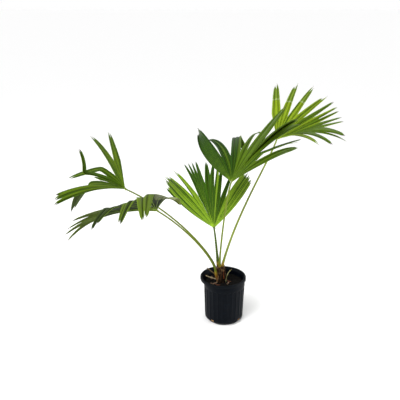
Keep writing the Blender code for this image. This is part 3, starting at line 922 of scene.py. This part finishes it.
def add_pleats(strip, sheets, ribs, dice):
    """Each pleat is two half strips from ridge to valley, which part at the ridge and split at the tip."""
    leaf = strip.rib.leaf
    pleats = strip.lobe.pleats
    longest = dice.integers(pleats)
    for p in range(pleats):
        shorter = dice.uniform(*TIPS_SHORTER)
        end = leaf.length * (1 - shorter * (p != longest))
        rows = np.append(np.arange(BLADE_START, end - 0.3 * ROW_STEP, ROW_STEP), end)
        left, left_lift = strip.edge(1, rows)
        right, right_lift = strip.edge(-1, rows)
        centre, up = strip.rib.at(rows)[:2]
        depth = up * fold_height(np.linalg.norm(left - right, axis=1) / pleats, rows)[:, None]
        split = min(leaf.length * strip.lobe.split, end * 0.97)
        own = np.clip((rows - split) / (end - split), 0, 1) ** 1.2 * (pleats > 1)
        bifid = np.clip((rows / end - BIFID_FROM) / (1 - BIFID_FROM), 0, 1)
        flatter = (1 - bifid)[:, None]

        def line(t, lift):
            """Points at t across the strip, from -1 at the right edge to 1 at the left, raised by lift."""
            t = t[:, None]
            flat = np.where(t > 0, centre * (1 - t) + left * t, centre * (1 + t) - right * t)
            return flat + lift * flatter

        from_t, to_t = 1 - 2 * p / pleats, 1 - 2 * (p + 1) / pleats
        middle = (from_t + to_t) / 2
        for outer in (from_t, to_t):
            tone = FRESH if dice.uniform() < strip.lobe.fresh else DEEP
            lift = {1: left_lift, -1: right_lift}.get(outer, depth)
            narrowed = outer + (middle - outer) * own
            point_t = middle + (outer - middle) * BIFID_WIDTH
            ridge = line(narrowed + (point_t - narrowed) * bifid, lift)
            valley = line(middle + (point_t - middle) * bifid, -depth)
            half = (ridge + valley) / 2 + depth * ROUNDED * flatter
            points = np.stack([ridge, half, valley], axis=1)
            columns = np.array([0.0, 0.25, 0.5])
            if outer == to_t:
                points = points[:, ::-1]
                columns = columns + 0.5
            uv = np.stack(np.meshgrid(columns, rows / leaf.length), axis=-1)
            sheets.grid(points, uv, tones_along(leaf, rows, end, tone))
        keep = rows < end * RIB_TO
        ribs.append((line(np.full(len(rows), middle), -depth)[keep] - up[keep] * RIB_BELOW,
                     RIB_TAPER * (1 - rows[keep] / end) + RIB_LEAST))


def make_frond(frond):
    """The pleated blade of all the frond's leaflets, with a midrib under each pleat."""
    dice = np.random.default_rng(SEED + len(frond.name))
    sheets = Sheets()
    ribs = []
    for strip in strips_of(frond):
        add_pleats(strip, sheets, ribs, dice)
    blade = thickened(sheets.piece(f"blade_{frond.name}", *frond_finishes(frond.name)), BLADE_THICKNESS, 1)
    lobes = dict.fromkeys(lobe.name for lobe in frond.lobes)
    placed(blade, "leaf", *[f"frond_{frond.name}_{lobe}" for lobe in lobes])
    paths, radii = zip(*ribs)
    finish = rib_finish(f"{frond.name}_midrib", LEAF_COLOURS[frond.name].fresh)
    placed(strands(f"midribs_{frond.name}", paths, radii, RIB_SIDES, finish), "leaf")


# Petioles

def bezier(start, leaving, arriving, end, steps):
    """A smooth path whose ends point along (heading, rise) for a given reach."""
    a = np.array(start)
    d = np.array(end)
    b = a + unit(*leaving[:2]) * leaving[2]
    c = d - unit(*arriving[:2]) * arriving[2]
    s = np.linspace(0, 1, steps + 1)[:, None]
    return (1 - s) ** 3 * a + 3 * s * (1 - s) ** 2 * b + 3 * s * s * (1 - s) * c + s ** 3 * d


def trunk_radius(height):
    """The trunk's taper."""
    share = (height - SOIL_TOP) / (TRUNK_TOP - SOIL_TOP)
    return TRUNK_RADIUS_LOW + (TRUNK_RADIUS_TOP - TRUNK_RADIUS_LOW) * share


def stalk_foot(stalk):
    """The path of a petiole's foot, up from inside the trunk to where it leaves."""
    start = np.array(stalk.start)
    bearing = np.arctan2(start[1], start[0] - TRUNK_X)
    inward = min(np.hypot(start[0] - TRUNK_X, start[1]), TRUNK_RADIUS_TOP - STALK_INSET)
    low = (TRUNK_X + inward * cos(bearing), inward * sin(bearing), start[2] - STALK_SUNK)
    leaving = (*stalk.leaving[:2], 0.018)
    return bezier(low, (0, 90, 0.02), leaving, start, 10)[:-1]


def make_petiole(stalk):
    """A channelled stalk with a flared foot, running on under the blade as its costa."""
    along, normal = frond_axes(stalk.frond)[:2]
    hub = np.array(stalk.frond.hub)
    foot = stalk_foot(stalk)
    path = bezier(stalk.start, stalk.leaving, stalk.arriving, hub, 44)
    beyond = np.linspace(*COSTA_REACH, COSTA_STEPS)[:, None]
    below = np.linspace(*COSTA_DEPTH, COSTA_STEPS)[:, None]
    costa = hub + along * beyond - normal * below
    points = np.vstack([foot, path, costa])
    radii = np.concatenate([np.full(len(foot), stalk.thick),
                            np.linspace(stalk.thick, stalk.thin, len(path)),
                            np.linspace(stalk.thin * 0.9, COSTA_TIP, len(costa))])
    reach = np.concatenate([[0], np.linalg.norm(np.diff(points, axis=0), axis=1).cumsum()])
    flare = 1 + FOOT_FLARE * (1 - smooth(*FLARE_OVER, reach))
    ups = np.broadcast_to(unit(stalk.frond.heading, stalk.frond.rise + 90), points.shape)
    ups = ups + (normal - ups) * smooth(0.5, 1.0, reach / reach[-1])[:, None]
    sheets = Sheets()
    left, ups = swept(sheets, points, ups, radii * flare, radii)
    finish = petiole_finish(f"{stalk.frond.name}_petiole_green", stalk.green)
    skin = welded(sheets.piece(f"petiole_{stalk.frond.name}_skin", finish))
    placed(skin, "petiole", f"petiole_{stalk.frond.name}")
    toothed = (reach > TEETH_FROM) & (reach < TEETH_TO * reach[-1])
    ahead = headings_of(points)
    margins, outward = [], []
    for side in (1, -1):
        shoulder = left * side * (radii * flare)[:, None]
        margins.append((points + shoulder * 0.97 + ups * 0.0006)[toothed])
        outward.append((left * side + ups * 0.3 - ahead * 0.35)[toothed])
    return margins, outward


def make_teeth(margins, outward, finish):
    """Short hooked teeth along both margins of each petiole's lower half."""
    growth = Growth("petiole_teeth_growth", Spacing=TOOTH_SPACING, Length=TOOTH_LENGTH, Width=TOOTH_WIDTH)
    curve = growth.node("GeometryNodeMeshToCurve", Mesh=growth.size("Geometry"))
    spots = growth.node("GeometryNodeResampleCurve", {"mode": "LENGTH"}, Curve=curve,
                        Length=growth.size("Spacing"))
    tooth = growth.node("GeometryNodeMeshCone", Vertices=5, Radius_Bottom=growth.size("Width"),
                        Depth=growth.size("Length"))
    way = growth.node("GeometryNodeInputNamedAttribute", {"data_type": "FLOAT_VECTOR"}, Name="outward")
    aim = growth.node("FunctionNodeAlignRotationToVector", {"axis": "Z"}, Vector=way)
    teeth = growth.node("GeometryNodeInstanceOnPoints", Points=spots, Instance=tooth, Rotation=aim)
    placed(growth.grown(wires("petiole_teeth", margins, outward=outward), teeth, finish), "petiole")


def make_hastulas(finish):
    """The small raised collar where each petiole meets its blade."""
    sheets = Sheets()
    for frond in FRONDS:
        along, normal, left = frond_axes(frond)
        share = np.linspace(-1, 1, 13)
        across = share[:, None]
        sideways = left * across * HASTULA_HALF_WIDTH
        foot = np.array(frond.hub) + along * (0.004 - 0.010 * across ** 2) + sideways
        rise = (1 - across ** 2) ** 0.6 * HASTULA_HEIGHT + 0.0005
        rows = [foot - normal * 0.002, foot + (normal * 0.8 + along * 0.35) * rise]
        sheets.grid(np.array(rows), np.stack(np.meshgrid(share, [0, 1]), axis=-1))
    placed(thickened(sheets.piece("hastulas", finish), 0.0012), "petiole")


def make_petioles():
    margins, outward = [], []
    for stalk in STALKS:
        edges, ways = make_petiole(stalk)
        margins += edges
        outward += ways
    make_teeth(margins, outward, rib_finish("petiole_tooth", (0.10, 0.11, 0.02)))
    make_hastulas(rib_finish("hastula", (0.15, 0.20, 0.03)))


# Trunk

def round_trunk(turn, radius, height):
    """Points round the trunk's axis."""
    return np.stack([TRUNK_X + radius * np.cos(turn), radius * np.sin(turn), height], axis=-1)


def make_trunk_core(finish):
    """The trunk's body with its fibrous relief, on stepped rings left by old leaf bases."""
    columns, rows = 145, 60
    heights = np.linspace(SOIL_TOP - 0.006, TRUNK_TOP, rows)
    turn, height = np.meshgrid(np.linspace(0, 2 * pi, columns), heights)
    base = trunk_radius(height)
    place = round_trunk(turn, base, height * 0.12)
    steps = (height * RINGS_PER_METRE + turn / (2 * pi)) % 1
    flare = 0.0025 * (1 - smooth(0.182, 0.200, height))
    radius = base + 0.0011 * lumps(place, 330) + 0.0016 * (steps - 0.5) + flare
    rings = round_trunk(turn, radius, height + 0.0015 * lumps(place, 120) * (height > SOIL_TOP))
    ends = [np.tile((TRUNK_X, 0, z), (1, columns, 1)) for z in (SOIL_TOP - 0.008, TRUNK_TOP - 0.003)]
    points = np.concatenate([ends[0], rings, ends[1]])
    points[:, -1] = points[:, 0]
    sheets = Sheets()
    uv = np.stack(np.meshgrid(np.linspace(0, 1, columns), np.linspace(0, 1, rows + 2)), axis=-1)
    sheets.grid(points, uv)
    placed(welded(sheets.piece("trunk_fibrous_core", finish)), "trunk", "trunk")


def make_sheaths(finish):
    """Old leaf sheaths wrapped round the trunk one over the next, with ragged upper edges."""
    dice = np.random.default_rng(SEED)
    sheets = Sheets()
    for k in range(SHEATHS):
        middle = k * GOLDEN_TURN + 0.6
        half = dice.uniform(0.75, 1.25)
        low = SOIL_TOP - 0.004 + 0.0055 * k
        top = low + dice.uniform(0.028, 0.042)
        across, up = np.meshgrid(np.linspace(-1, 1, 25), np.linspace(0, 1, 12))
        turn = middle + across * half * (1 - 0.25 * up)
        ragged = 0.0045 * lumps(round_trunk(turn, 0.02, turn * 0 + k), 260)
        height = low + (top - low) * up * (1 - 0.35 * across ** 2) + ragged * up ** 2
        creased = 0.0006 * lumps(round_trunk(turn, 0.02, height), 180)
        radius = trunk_radius(height) + 0.0010 + 0.0034 * up ** 1.5 + creased
        sheets.grid(round_trunk(turn, radius, height), np.stack([across, up], axis=-1))
    placed(thickened(sheets.piece("old_leaf_sheaths", finish), SHEATH_THICKNESS), "trunk")


def make_straps(*finishes):
    """Split margins of old leaf bases standing on the trunk."""
    sheets = Sheets()
    for turn, half, low, high, slot in STRAPS:
        across, up = np.meshgrid(np.linspace(-1, 1, 7), np.linspace(0, 1, 16))
        height = low + (high - low) * up
        way = radians(turn) + radians(half) * across * (1 - 0.35 * up) + 0.10 * np.sin(5 * up + turn)
        ragged = 0.0035 * lumps(round_trunk(way, 0.02, way * 0 + turn), 300) * up ** 3
        lift = 0.0034 + 0.0014 * (1 - across ** 2) + 0.0016 * up ** 2 + 0.0006 * np.sin(9 * up + turn)
        points = round_trunk(way, trunk_radius(height) + lift, height + ragged)
        sheets.grid(points, np.stack([across, up], axis=-1), slot)
    placed(thickened(sheets.piece("split_sheath_straps", *finishes), SHEATH_THICKNESS), "trunk")


def make_fibres(finish):
    """Loose fibres of the old sheaths, wound up the trunk with their ends standing off."""
    dice = np.random.default_rng(SEED + 1)
    paths, radii = [], []
    share = np.linspace(0, 1, 9)
    for k in range(FIBRES):
        turn = dice.uniform(0, 2 * pi) + share * dice.normal(0, 0.55)
        low = dice.uniform(SOIL_TOP - 0.002, TRUNK_TOP - 0.020)
        height = low + share * dice.uniform(0.018, 0.050)
        height = np.minimum(height, TRUNK_TOP + 0.007)
        off = dice.uniform(0.0006, 0.0036) + 0.0045 * dice.uniform() * share ** 3
        radius = trunk_radius(height) + off
        paths.append(round_trunk(turn, radius, height))
        radii.append(dice.uniform(0.00022, 0.00055) * (1 - 0.6 * share))
    placed(strands("trunk_fibres", paths, radii, 4, finish), "trunk")


def make_crown_rim(finish):
    """The ragged ring of torn sheath round the petioles' feet at the trunk's top."""
    turn, up = np.meshgrid(np.linspace(0, 2 * pi, 73), np.linspace(0, 1, 8))
    closed = round_trunk(turn, 0.02, turn * 0)
    ragged = 0.5 + 0.5 * lumps(closed, 160)
    height = TRUNK_TOP - 0.012 + up * (0.008 + 0.011 * ragged)
    radius = TRUNK_RADIUS_TOP + 0.0006 + 0.0016 * up + 0.0008 * lumps(closed, 300)
    points = round_trunk(turn, radius, height)
    points[:, -1] = points[:, 0]
    sheets = Sheets()
    sheets.grid(points, np.stack([turn, up], axis=-1))
    placed(thickened(welded(sheets.piece("crown_rim", finish)), 0.0009), "trunk")


def stub_path(stub, steps=14):
    point = np.array(stub.start)
    for share in np.linspace(0, 1, steps + 1):
        yield point
        point = point + unit(stub.heading, stub.rise + stub.curl * (0.5 - share)) * stub.length / steps


def make_stubs(finishes, fibre):
    """Dried leaf bases, channelled and shrunken, with fibres frayed from their ends."""
    dice = np.random.default_rng(SEED + 2)
    paths, radii = [], []
    for stub, finish in zip(STUBS, finishes):
        points = np.array(list(stub_path(stub)))
        first = points[0] - (points[1] - points[0]) * 2.2
        points = np.vstack([first, points])
        share = np.linspace(0, 1, len(points))
        ups = np.broadcast_to(unit(stub.heading, stub.rise + 90), points.shape)
        shrunk = 1 + 0.10 * np.sin(share * 17) - 0.30 * share
        sheets = Sheets()
        swept(sheets, points, ups, stub.radius * 1.25 * shrunk, stub.radius * 0.85 * shrunk, sides=16)
        placed(welded(sheets.piece(stub.name + "_skin", finish)), "dry_leaf_base", stub.name)
        end, way = points[-1], points[-1] - points[-2]
        way /= np.linalg.norm(way)
        for k in range(FRAYS):
            drift = dice.normal(0, 0.25, 3)
            run = np.linspace(0, 1, 5)[:, None] * dice.uniform(0.004, 0.009)
            paths.append(end - way * 0.002 + dice.normal(0, 0.0010, 3) + way * run + drift * run ** 2 * 40)
            radii.append(np.linspace(0.0004, 0.00012, 5))
    placed(strands("stub_frays", paths, radii, 4, fibre), "dry_leaf_base")


def make_litter(finishes):
    """Scraps of dead leaf lying on the soil by the trunk."""
    for slot, finish in enumerate(finishes):
        sheets = Sheets()
        for x, y, heading, length, width in SCRAPS[slot::len(finishes)]:
            along, across = np.meshgrid(np.linspace(-0.5, 0.5, 12), np.linspace(-0.5, 0.5, 6))
            way = radians(heading)
            narrow = 1 - (2 * along) ** 4 * 0.7
            u, v = along * length, across * width * narrow
            curl = 0.006 * (2 * along) ** 2 + 0.004 * (2 * across) ** 2
            height = SOIL_TOP + 0.0030 + curl + 0.001 * np.sin(along * 14)
            right = x + u * cos(way) - v * sin(way)
            back = y + u * sin(way) + v * cos(way)
            sheets.grid(np.stack([right, back, height], axis=-1), np.stack([along, across], axis=-1))
        placed(thickened(sheets.piece(finish.name + "_scraps", finish), 0.0006), "dry_leaf_base")


def make_trunk():
    fibre = dry_finish("sheath_fibre")
    make_trunk_core(dry_finish("trunk_fibre_mat"))
    make_sheaths(dry_finish("old_sheath"))
    make_fibres(fibre)
    make_crown_rim(dry_finish("torn_sheath"))
    make_straps(*[dry_finish(f"{tone}_strap") for tone in ("brown", "rust", "tan", "dark")])
    make_stubs([dry_finish(f"stub_{tone}") for tone in ("dark_tan", "cream", "olive_cream")], fibre)
    make_litter([dry_finish(f"{tone}_dead_leaf") for tone in ("tan", "reddish")])


# Nursery pot

def pot_profile():
    """Radius and height up the outside, over the lip and down the inside, and the drain holes' rows."""
    lip_bottom = POT_HEIGHT - LIP_HEIGHT
    foot = [(0, FOOT_RECESS), (FOOT_RADIUS - 0.008, FOOT_RECESS), (FOOT_RADIUS - 0.007, 0),
            (FOOT_RADIUS - 0.0008, 0), (FOOT_RADIUS, FOOT_ROUND)]
    share = np.linspace(0, 1, 9)[1:]
    low = list(zip(FOOT_RADIUS + (BODY_RADIUS_LOW - FOOT_RADIUS) * share,
                   FOOT_ROUND + (CHAMFER_HEIGHT - FOOT_ROUND) * share))
    low += [(BODY_RADIUS_LOW, CHAMFER_HEIGHT + rise) for rise in (0.002, 0.004, 0.006)]
    heights = np.append(np.linspace(CHAMFER_HEIGHT + 0.009, COLLAR_BOTTOM - 0.012, 14),
                        np.linspace(COLLAR_BOTTOM - 0.011, COLLAR_BOTTOM - 0.0015, 12))
    slope = (COLLAR_RADIUS - BODY_RADIUS_LOW) / (COLLAR_BOTTOM - CHAMFER_HEIGHT)
    body = [(BODY_RADIUS_LOW + slope * (h - CHAMFER_HEIGHT), h) for h in heights]
    collar = [(COLLAR_RADIUS + 0.0006, COLLAR_BOTTOM), (COLLAR_RADIUS + 0.0008, COLLAR_BOTTOM + 0.008),
              (NECK_RADIUS, lip_bottom - 0.006), (NECK_RADIUS - 0.0012, lip_bottom - 0.002),
              (NECK_RADIUS - 0.0012, lip_bottom + 0.005), (LIP_RADIUS - 0.004, lip_bottom + 0.005)]
    turn = np.radians(np.linspace(180, 360, 7))
    skirt = [(LIP_RADIUS - SKIRT_HALF + SKIRT_HALF * cos(t), lip_bottom + SKIRT_RISE + SKIRT_RISE * sin(t))
             for t in turn]
    turn = np.radians(np.linspace(0, 180, 11))
    half = LIP_WIDTH / 2
    roll = [(LIP_RADIUS - half + half * cos(t), POT_HEIGHT - half + half * sin(t)) for t in turn]
    wall = POT_WALL + FLUTE_DEPTH
    inside = [(NECK_RADIUS - POT_WALL, lip_bottom - 0.001), (COLLAR_RADIUS - wall, COLLAR_BOTTOM),
              (BODY_RADIUS_LOW - wall, CHAMFER_HEIGHT + 0.010)]
    inner = [(r - POT_WALL, h + POT_WALL * 0.5) for r, h in low[::-1]]
    floor = [(FOOT_RADIUS - POT_WALL, FLOOR_TOP), (0, FLOOR_TOP)]
    outer = foot + low + body + collar + skirt + roll + inside
    hole_outside = len(foot) + DRAIN_FROM
    hole_inside = len(outer) + len(low) - 1 - DRAIN_FROM
    return outer + inner + floor, hole_outside, hole_inside, len(outer)


def fluted(radius, height, turn):
    """The radius with an arched hollow between each two ribs of the body."""
    off = ((turn * FLUTES / (2 * pi)) % 1 - 0.5) * 2 / FLUTE_HALF_WIDTH
    arch = COLLAR_BOTTOM - 0.002 - ARCH_HEIGHT * off ** 2
    hollow = (1 - smooth(0.82, 1.0, np.abs(off))) * (1 - smooth(arch - 0.0012, arch + 0.0004, height))
    hollow = hollow * smooth(CHAMFER_HEIGHT + 0.008, CHAMFER_HEIGHT + 0.011, height)
    return radius - FLUTE_DEPTH * hollow


def pot_points(profile, inside):
    """The pot's points by row and column: fluted below the lip, and a little out of round."""
    radius, height = (values[:, None] for values in np.array(profile).T)
    turn = np.arange(POT_COLUMNS) * 2 * pi / POT_COLUMNS
    below_lip = (np.arange(len(profile)) < inside - LIP_ROWS)[:, None]
    wide = np.where(below_lip, fluted(radius, height, turn[None]), radius)
    lip_bottom = POT_HEIGHT - LIP_HEIGHT
    shift = np.interp(height, (COLLAR_BOTTOM, lip_bottom, lip_bottom + 0.001), (0, NECK_SHIFT, LIP_SHIFT))
    wide = wide + 0.0005 * np.sin(turn * 3 + 1) * smooth(0.05, 0.2, height) * (radius > 0)
    across, deep = shift + wide * np.cos(turn), wide * np.sin(turn)
    return np.stack([across, deep, np.broadcast_to(height, wide.shape)], axis=-1)


def drained(corner, hole_outside, hole_inside):
    """The pot's faces, with the drain holes cut through its wall and their edges closed."""
    after = np.roll(corner, -1, axis=1)
    quads = np.stack([corner[:-1], after[:-1], after[1:], corner[1:]], axis=-1)
    keep = np.ones(quads.shape[:2], bool)
    edges = []
    for k in range(DRAIN_HOLES):
        first = round((k / DRAIN_HOLES + DRAIN_TURN / 360) * POT_COLUMNS - DRAIN_COLUMNS / 2)
        around = np.arange(first, first + DRAIN_COLUMNS + 1) % POT_COLUMNS
        loops = []
        for start, step in ((hole_outside, 1), (hole_inside, -1)):
            rows = start + step * np.arange(DRAIN_ROWS)
            block = corner[np.ix_(rows, around)]
            loops.append(np.concatenate([block[0, :-1], block[:-1, -1], block[-1, :0:-1], block[:0:-1, 0]]))
            keep[min(rows):max(rows), around[:-1]] = False
        a, b = loops
        edges.append(np.stack([a, np.roll(a, -1), np.roll(b, -1), b], axis=-1))
    return np.concatenate([quads[keep], *edges])


def make_pot():
    profile, hole_outside, hole_inside, inside = pot_profile()
    points = pot_points(profile, inside)
    corner = np.arange(points.shape[0] * POT_COLUMNS).reshape(-1, POT_COLUMNS)
    faces = drained(corner, hole_outside, hole_inside)
    mesh = bpy.data.meshes.new("fluted_nursery_pot")
    mesh.from_pydata(points.reshape(-1, 3).tolist(), [], faces.tolist())
    pot = bpy.data.objects.new("fluted_nursery_pot", mesh)
    bpy.context.scene.collection.objects.link(pot)
    mesh.materials.append(plastic_finish("black_plastic", (0.0012, 0.0022, 0.0040)))
    # The lip's slightly lighter plastic is a painted highlight on the rolled rim.
    mesh.materials.append(plastic_finish("lip_plastic", (0.0018, 0.0028, 0.0042)))
    welded(pot)
    for face in pot.data.polygons:
        high = face.center.z > POT_HEIGHT - LIP_HEIGHT - 0.001
        wide = np.hypot(face.center.x - LIP_SHIFT, face.center.y) > LIP_RADIUS - LIP_WIDTH - 0.001
        face.material_index = int(high and wide)
    placed(pot, "pot", "nursery_pot")


# Soil

def soil_points():
    """The soil's points up its sides and over its lumpy top, which is mounded at the trunk."""
    inset = POT_WALL + FLUTE_DEPTH + 0.0012
    rim = COLLAR_RADIUS - inset
    near_wall = BODY_RADIUS_LOW - 0.0022
    sides = [(0, 0.0034), (FOOT_RADIUS - 0.0036, 0.0034), (near_wall, CHAMFER_HEIGHT + 0.0014),
             (near_wall, CHAMFER_HEIGHT + 0.007), (BODY_RADIUS_LOW - inset, CHAMFER_HEIGHT + 0.012),
             (rim, COLLAR_BOTTOM), (rim - 0.0010, SOIL_TOP - 0.003)]
    top = [(r, SOIL_TOP) for r in np.linspace(rim - 0.002, 0, 44)]
    radius, height = (values[:, None] for values in np.array(sides + top).T)
    turn = np.linspace(0, 2 * pi, SOIL_COLUMNS + 1)
    points = np.stack(np.broadcast_arrays(radius * np.cos(turn), radius * np.sin(turn), height), axis=-1)
    bumps = 0.0028 * lumps(points, 55, 4) + 0.0010 * lumps(points, 210, 2)
    mound = 0.0035 * np.exp(-((points[..., 0] - TRUNK_X) ** 2 + points[..., 1] ** 2) / 0.035 ** 2)
    points[len(sides):, :, 2] += (bumps + mound)[len(sides):] - 0.001
    points[:, -1] = points[:, 0]
    return points, np.stack(np.meshgrid(turn, height), axis=-1)


def scatter_bark(chips):
    """Crumbs of bark all over the soil's top."""
    low = bmesh.new()
    low.from_mesh(chips.data)
    bmesh.ops.delete(low, geom=[v for v in low.verts if v.co.z < SOIL_TOP - 0.006], context="VERTS")
    low.to_mesh(chips.data)
    low.free()
    growth = Growth("bark_chips_growth", Density=CHIPS_PER_SQUARE_METRE, Seed=SEED)
    spots = growth.node("GeometryNodeDistributePointsOnFaces", Mesh=growth.size("Geometry"),
                        Density=growth.size("Density"), Seed=growth.size("Seed"))
    chip = growth.node("GeometryNodeMeshIcoSphere", Radius=1.0, Subdivisions=1)
    vector = {"data_type": "FLOAT_VECTOR"}
    turned = growth.node("FunctionNodeRandomValue", vector, Max=(CHIP_TURN,) * 3, Seed=1)
    size = growth.node("FunctionNodeRandomValue", vector, Min=CHIP_SMALLEST, Max=CHIP_LARGEST, Seed=2)
    scattered = growth.node("GeometryNodeInstanceOnPoints", Points=spots, Instance=chip, Rotation=turned,
                            Scale=size)
    # The near-black bark is partly its own dark colour and partly painted shade inside the pot.
    bark = soil_finish("bark_crumb", (0.003, 0.0024, 0.0018), (0.012, 0.008, 0.005))
    placed(growth.grown(chips, scattered, bark), "soil")


def make_soil():
    """Soil that fills the pot, bare and tan where it shows at the drain holes, and lightened there by painted
    light.
    """
    points, uv = soil_points()
    sheets = Sheets()
    slots = (np.arange(len(points) - 1) < TAN_ROWS).astype(int)[:, None]
    sheets.grid(points, uv, slots)
    # The near-black peat is partly dark peat and partly painted shade inside the pot.
    finishes = (soil_finish("dark_peat", (0.002, 0.0017, 0.0014), (0.006, 0.0045, 0.0035)),
                # The tan peat is lighter than its own colour: painted light against the shade in the drain
                # holes.
                soil_finish("tan_peat", (0.45, 0.24, 0.09), (0.80, 0.55, 0.28)))
    placed(welded(sheets.piece("peat_fill", *finishes)), "soil", "potting_soil")
    scatter_bark(sheets.piece("bark_chips", *finishes))


# Studio

FLOOR_SIZE = 900
FLOOR_GAP = 0.0005

# Area lights: (name, place, size, power, aim)
LIGHTS = (
    ("key", (-1.4, -1.7, 3.0), 0.9, 40, (0, 0, 0.6)),
    ("left strip", (-2.6, -0.4, 0.7), 1.2, 32, (0, 0, 0.2)),
    ("right strip", (2.6, -0.5, 0.8), 1.2, 50, (0, 0, 0.2)),
    ("back", (0.4, 2.2, 2.4), 1.5, 10, (0, 0, 0.6)),
)
SKY = 0.52
HORIZON = 1.0
HORIZON_FROM = 0.10
SUN_POWER = 2.2
SUN_WIDTH = 50
SUN_TURN = (38, 0, -35)


def make_sky():
    """Even soft light from above, white at the horizon."""
    world = bpy.data.worlds.new("world")
    bpy.context.scene.world = world
    world.use_nodes = True
    tree = world.node_tree
    way = tree.nodes.new("ShaderNodeTexCoord")
    parts = tree.nodes.new("ShaderNodeSeparateXYZ")
    level = tree.nodes.new("ShaderNodeMapRange")
    level.inputs["From Min"].default_value = HORIZON_FROM
    level.inputs["From Max"].default_value = HORIZON_FROM * 2
    level.inputs["To Min"].default_value = HORIZON
    level.inputs["To Max"].default_value = SKY
    tree.links.new(way.outputs["Generated"], parts.inputs[0])
    tree.links.new(parts.outputs["Z"], level.inputs["Value"])
    sky = tree.nodes["Background"]
    sky.inputs["Color"].default_value = (1, 1, 1, 1)
    tree.links.new(level.outputs["Result"], sky.inputs["Strength"])


def make_stage():
    scene = bpy.context.scene
    scene.view_settings.view_transform = "Standard"
    camera = bpy.data.objects.new("camera", bpy.data.cameras.new("camera"))
    camera.data.lens = CAMERA_LENS
    camera.location = CAMERA_PLACE
    camera.rotation_euler = (radians(90 - CAMERA_DOWN), 0, 0)
    scene.collection.objects.link(camera)
    scene.camera = camera
    bpy.ops.mesh.primitive_plane_add(size=FLOOR_SIZE, location=(0, 0, -FLOOR_GAP))
    floor = bpy.context.object
    floor.name = "floor"
    paper = Finish("floor_paper", Base_Color=(0.93, 0.93, 0.93), Roughness=0.9)
    floor.data.materials.append(paper.material)
    make_sky()
    sun = bpy.data.objects.new("sun", bpy.data.lights.new("sun", "SUN"))
    sun.data.energy = SUN_POWER
    sun.data.angle = radians(SUN_WIDTH)
    sun.rotation_euler = [radians(turn) for turn in SUN_TURN]
    scene.collection.objects.link(sun)
    for name, place, size, power, aim in LIGHTS:
        light = bpy.data.objects.new(name, bpy.data.lights.new(name, "AREA"))
        light.data.size = size
        light.data.energy = power
        light.location = place
        way = Vector(aim) - Vector(place)
        light.rotation_euler = way.to_track_quat("-Z", "Y").to_euler()
        scene.collection.objects.link(light)


for frond in FRONDS:
    make_frond(frond)
make_petioles()
make_trunk()
make_pot()
make_soil()
make_stage()
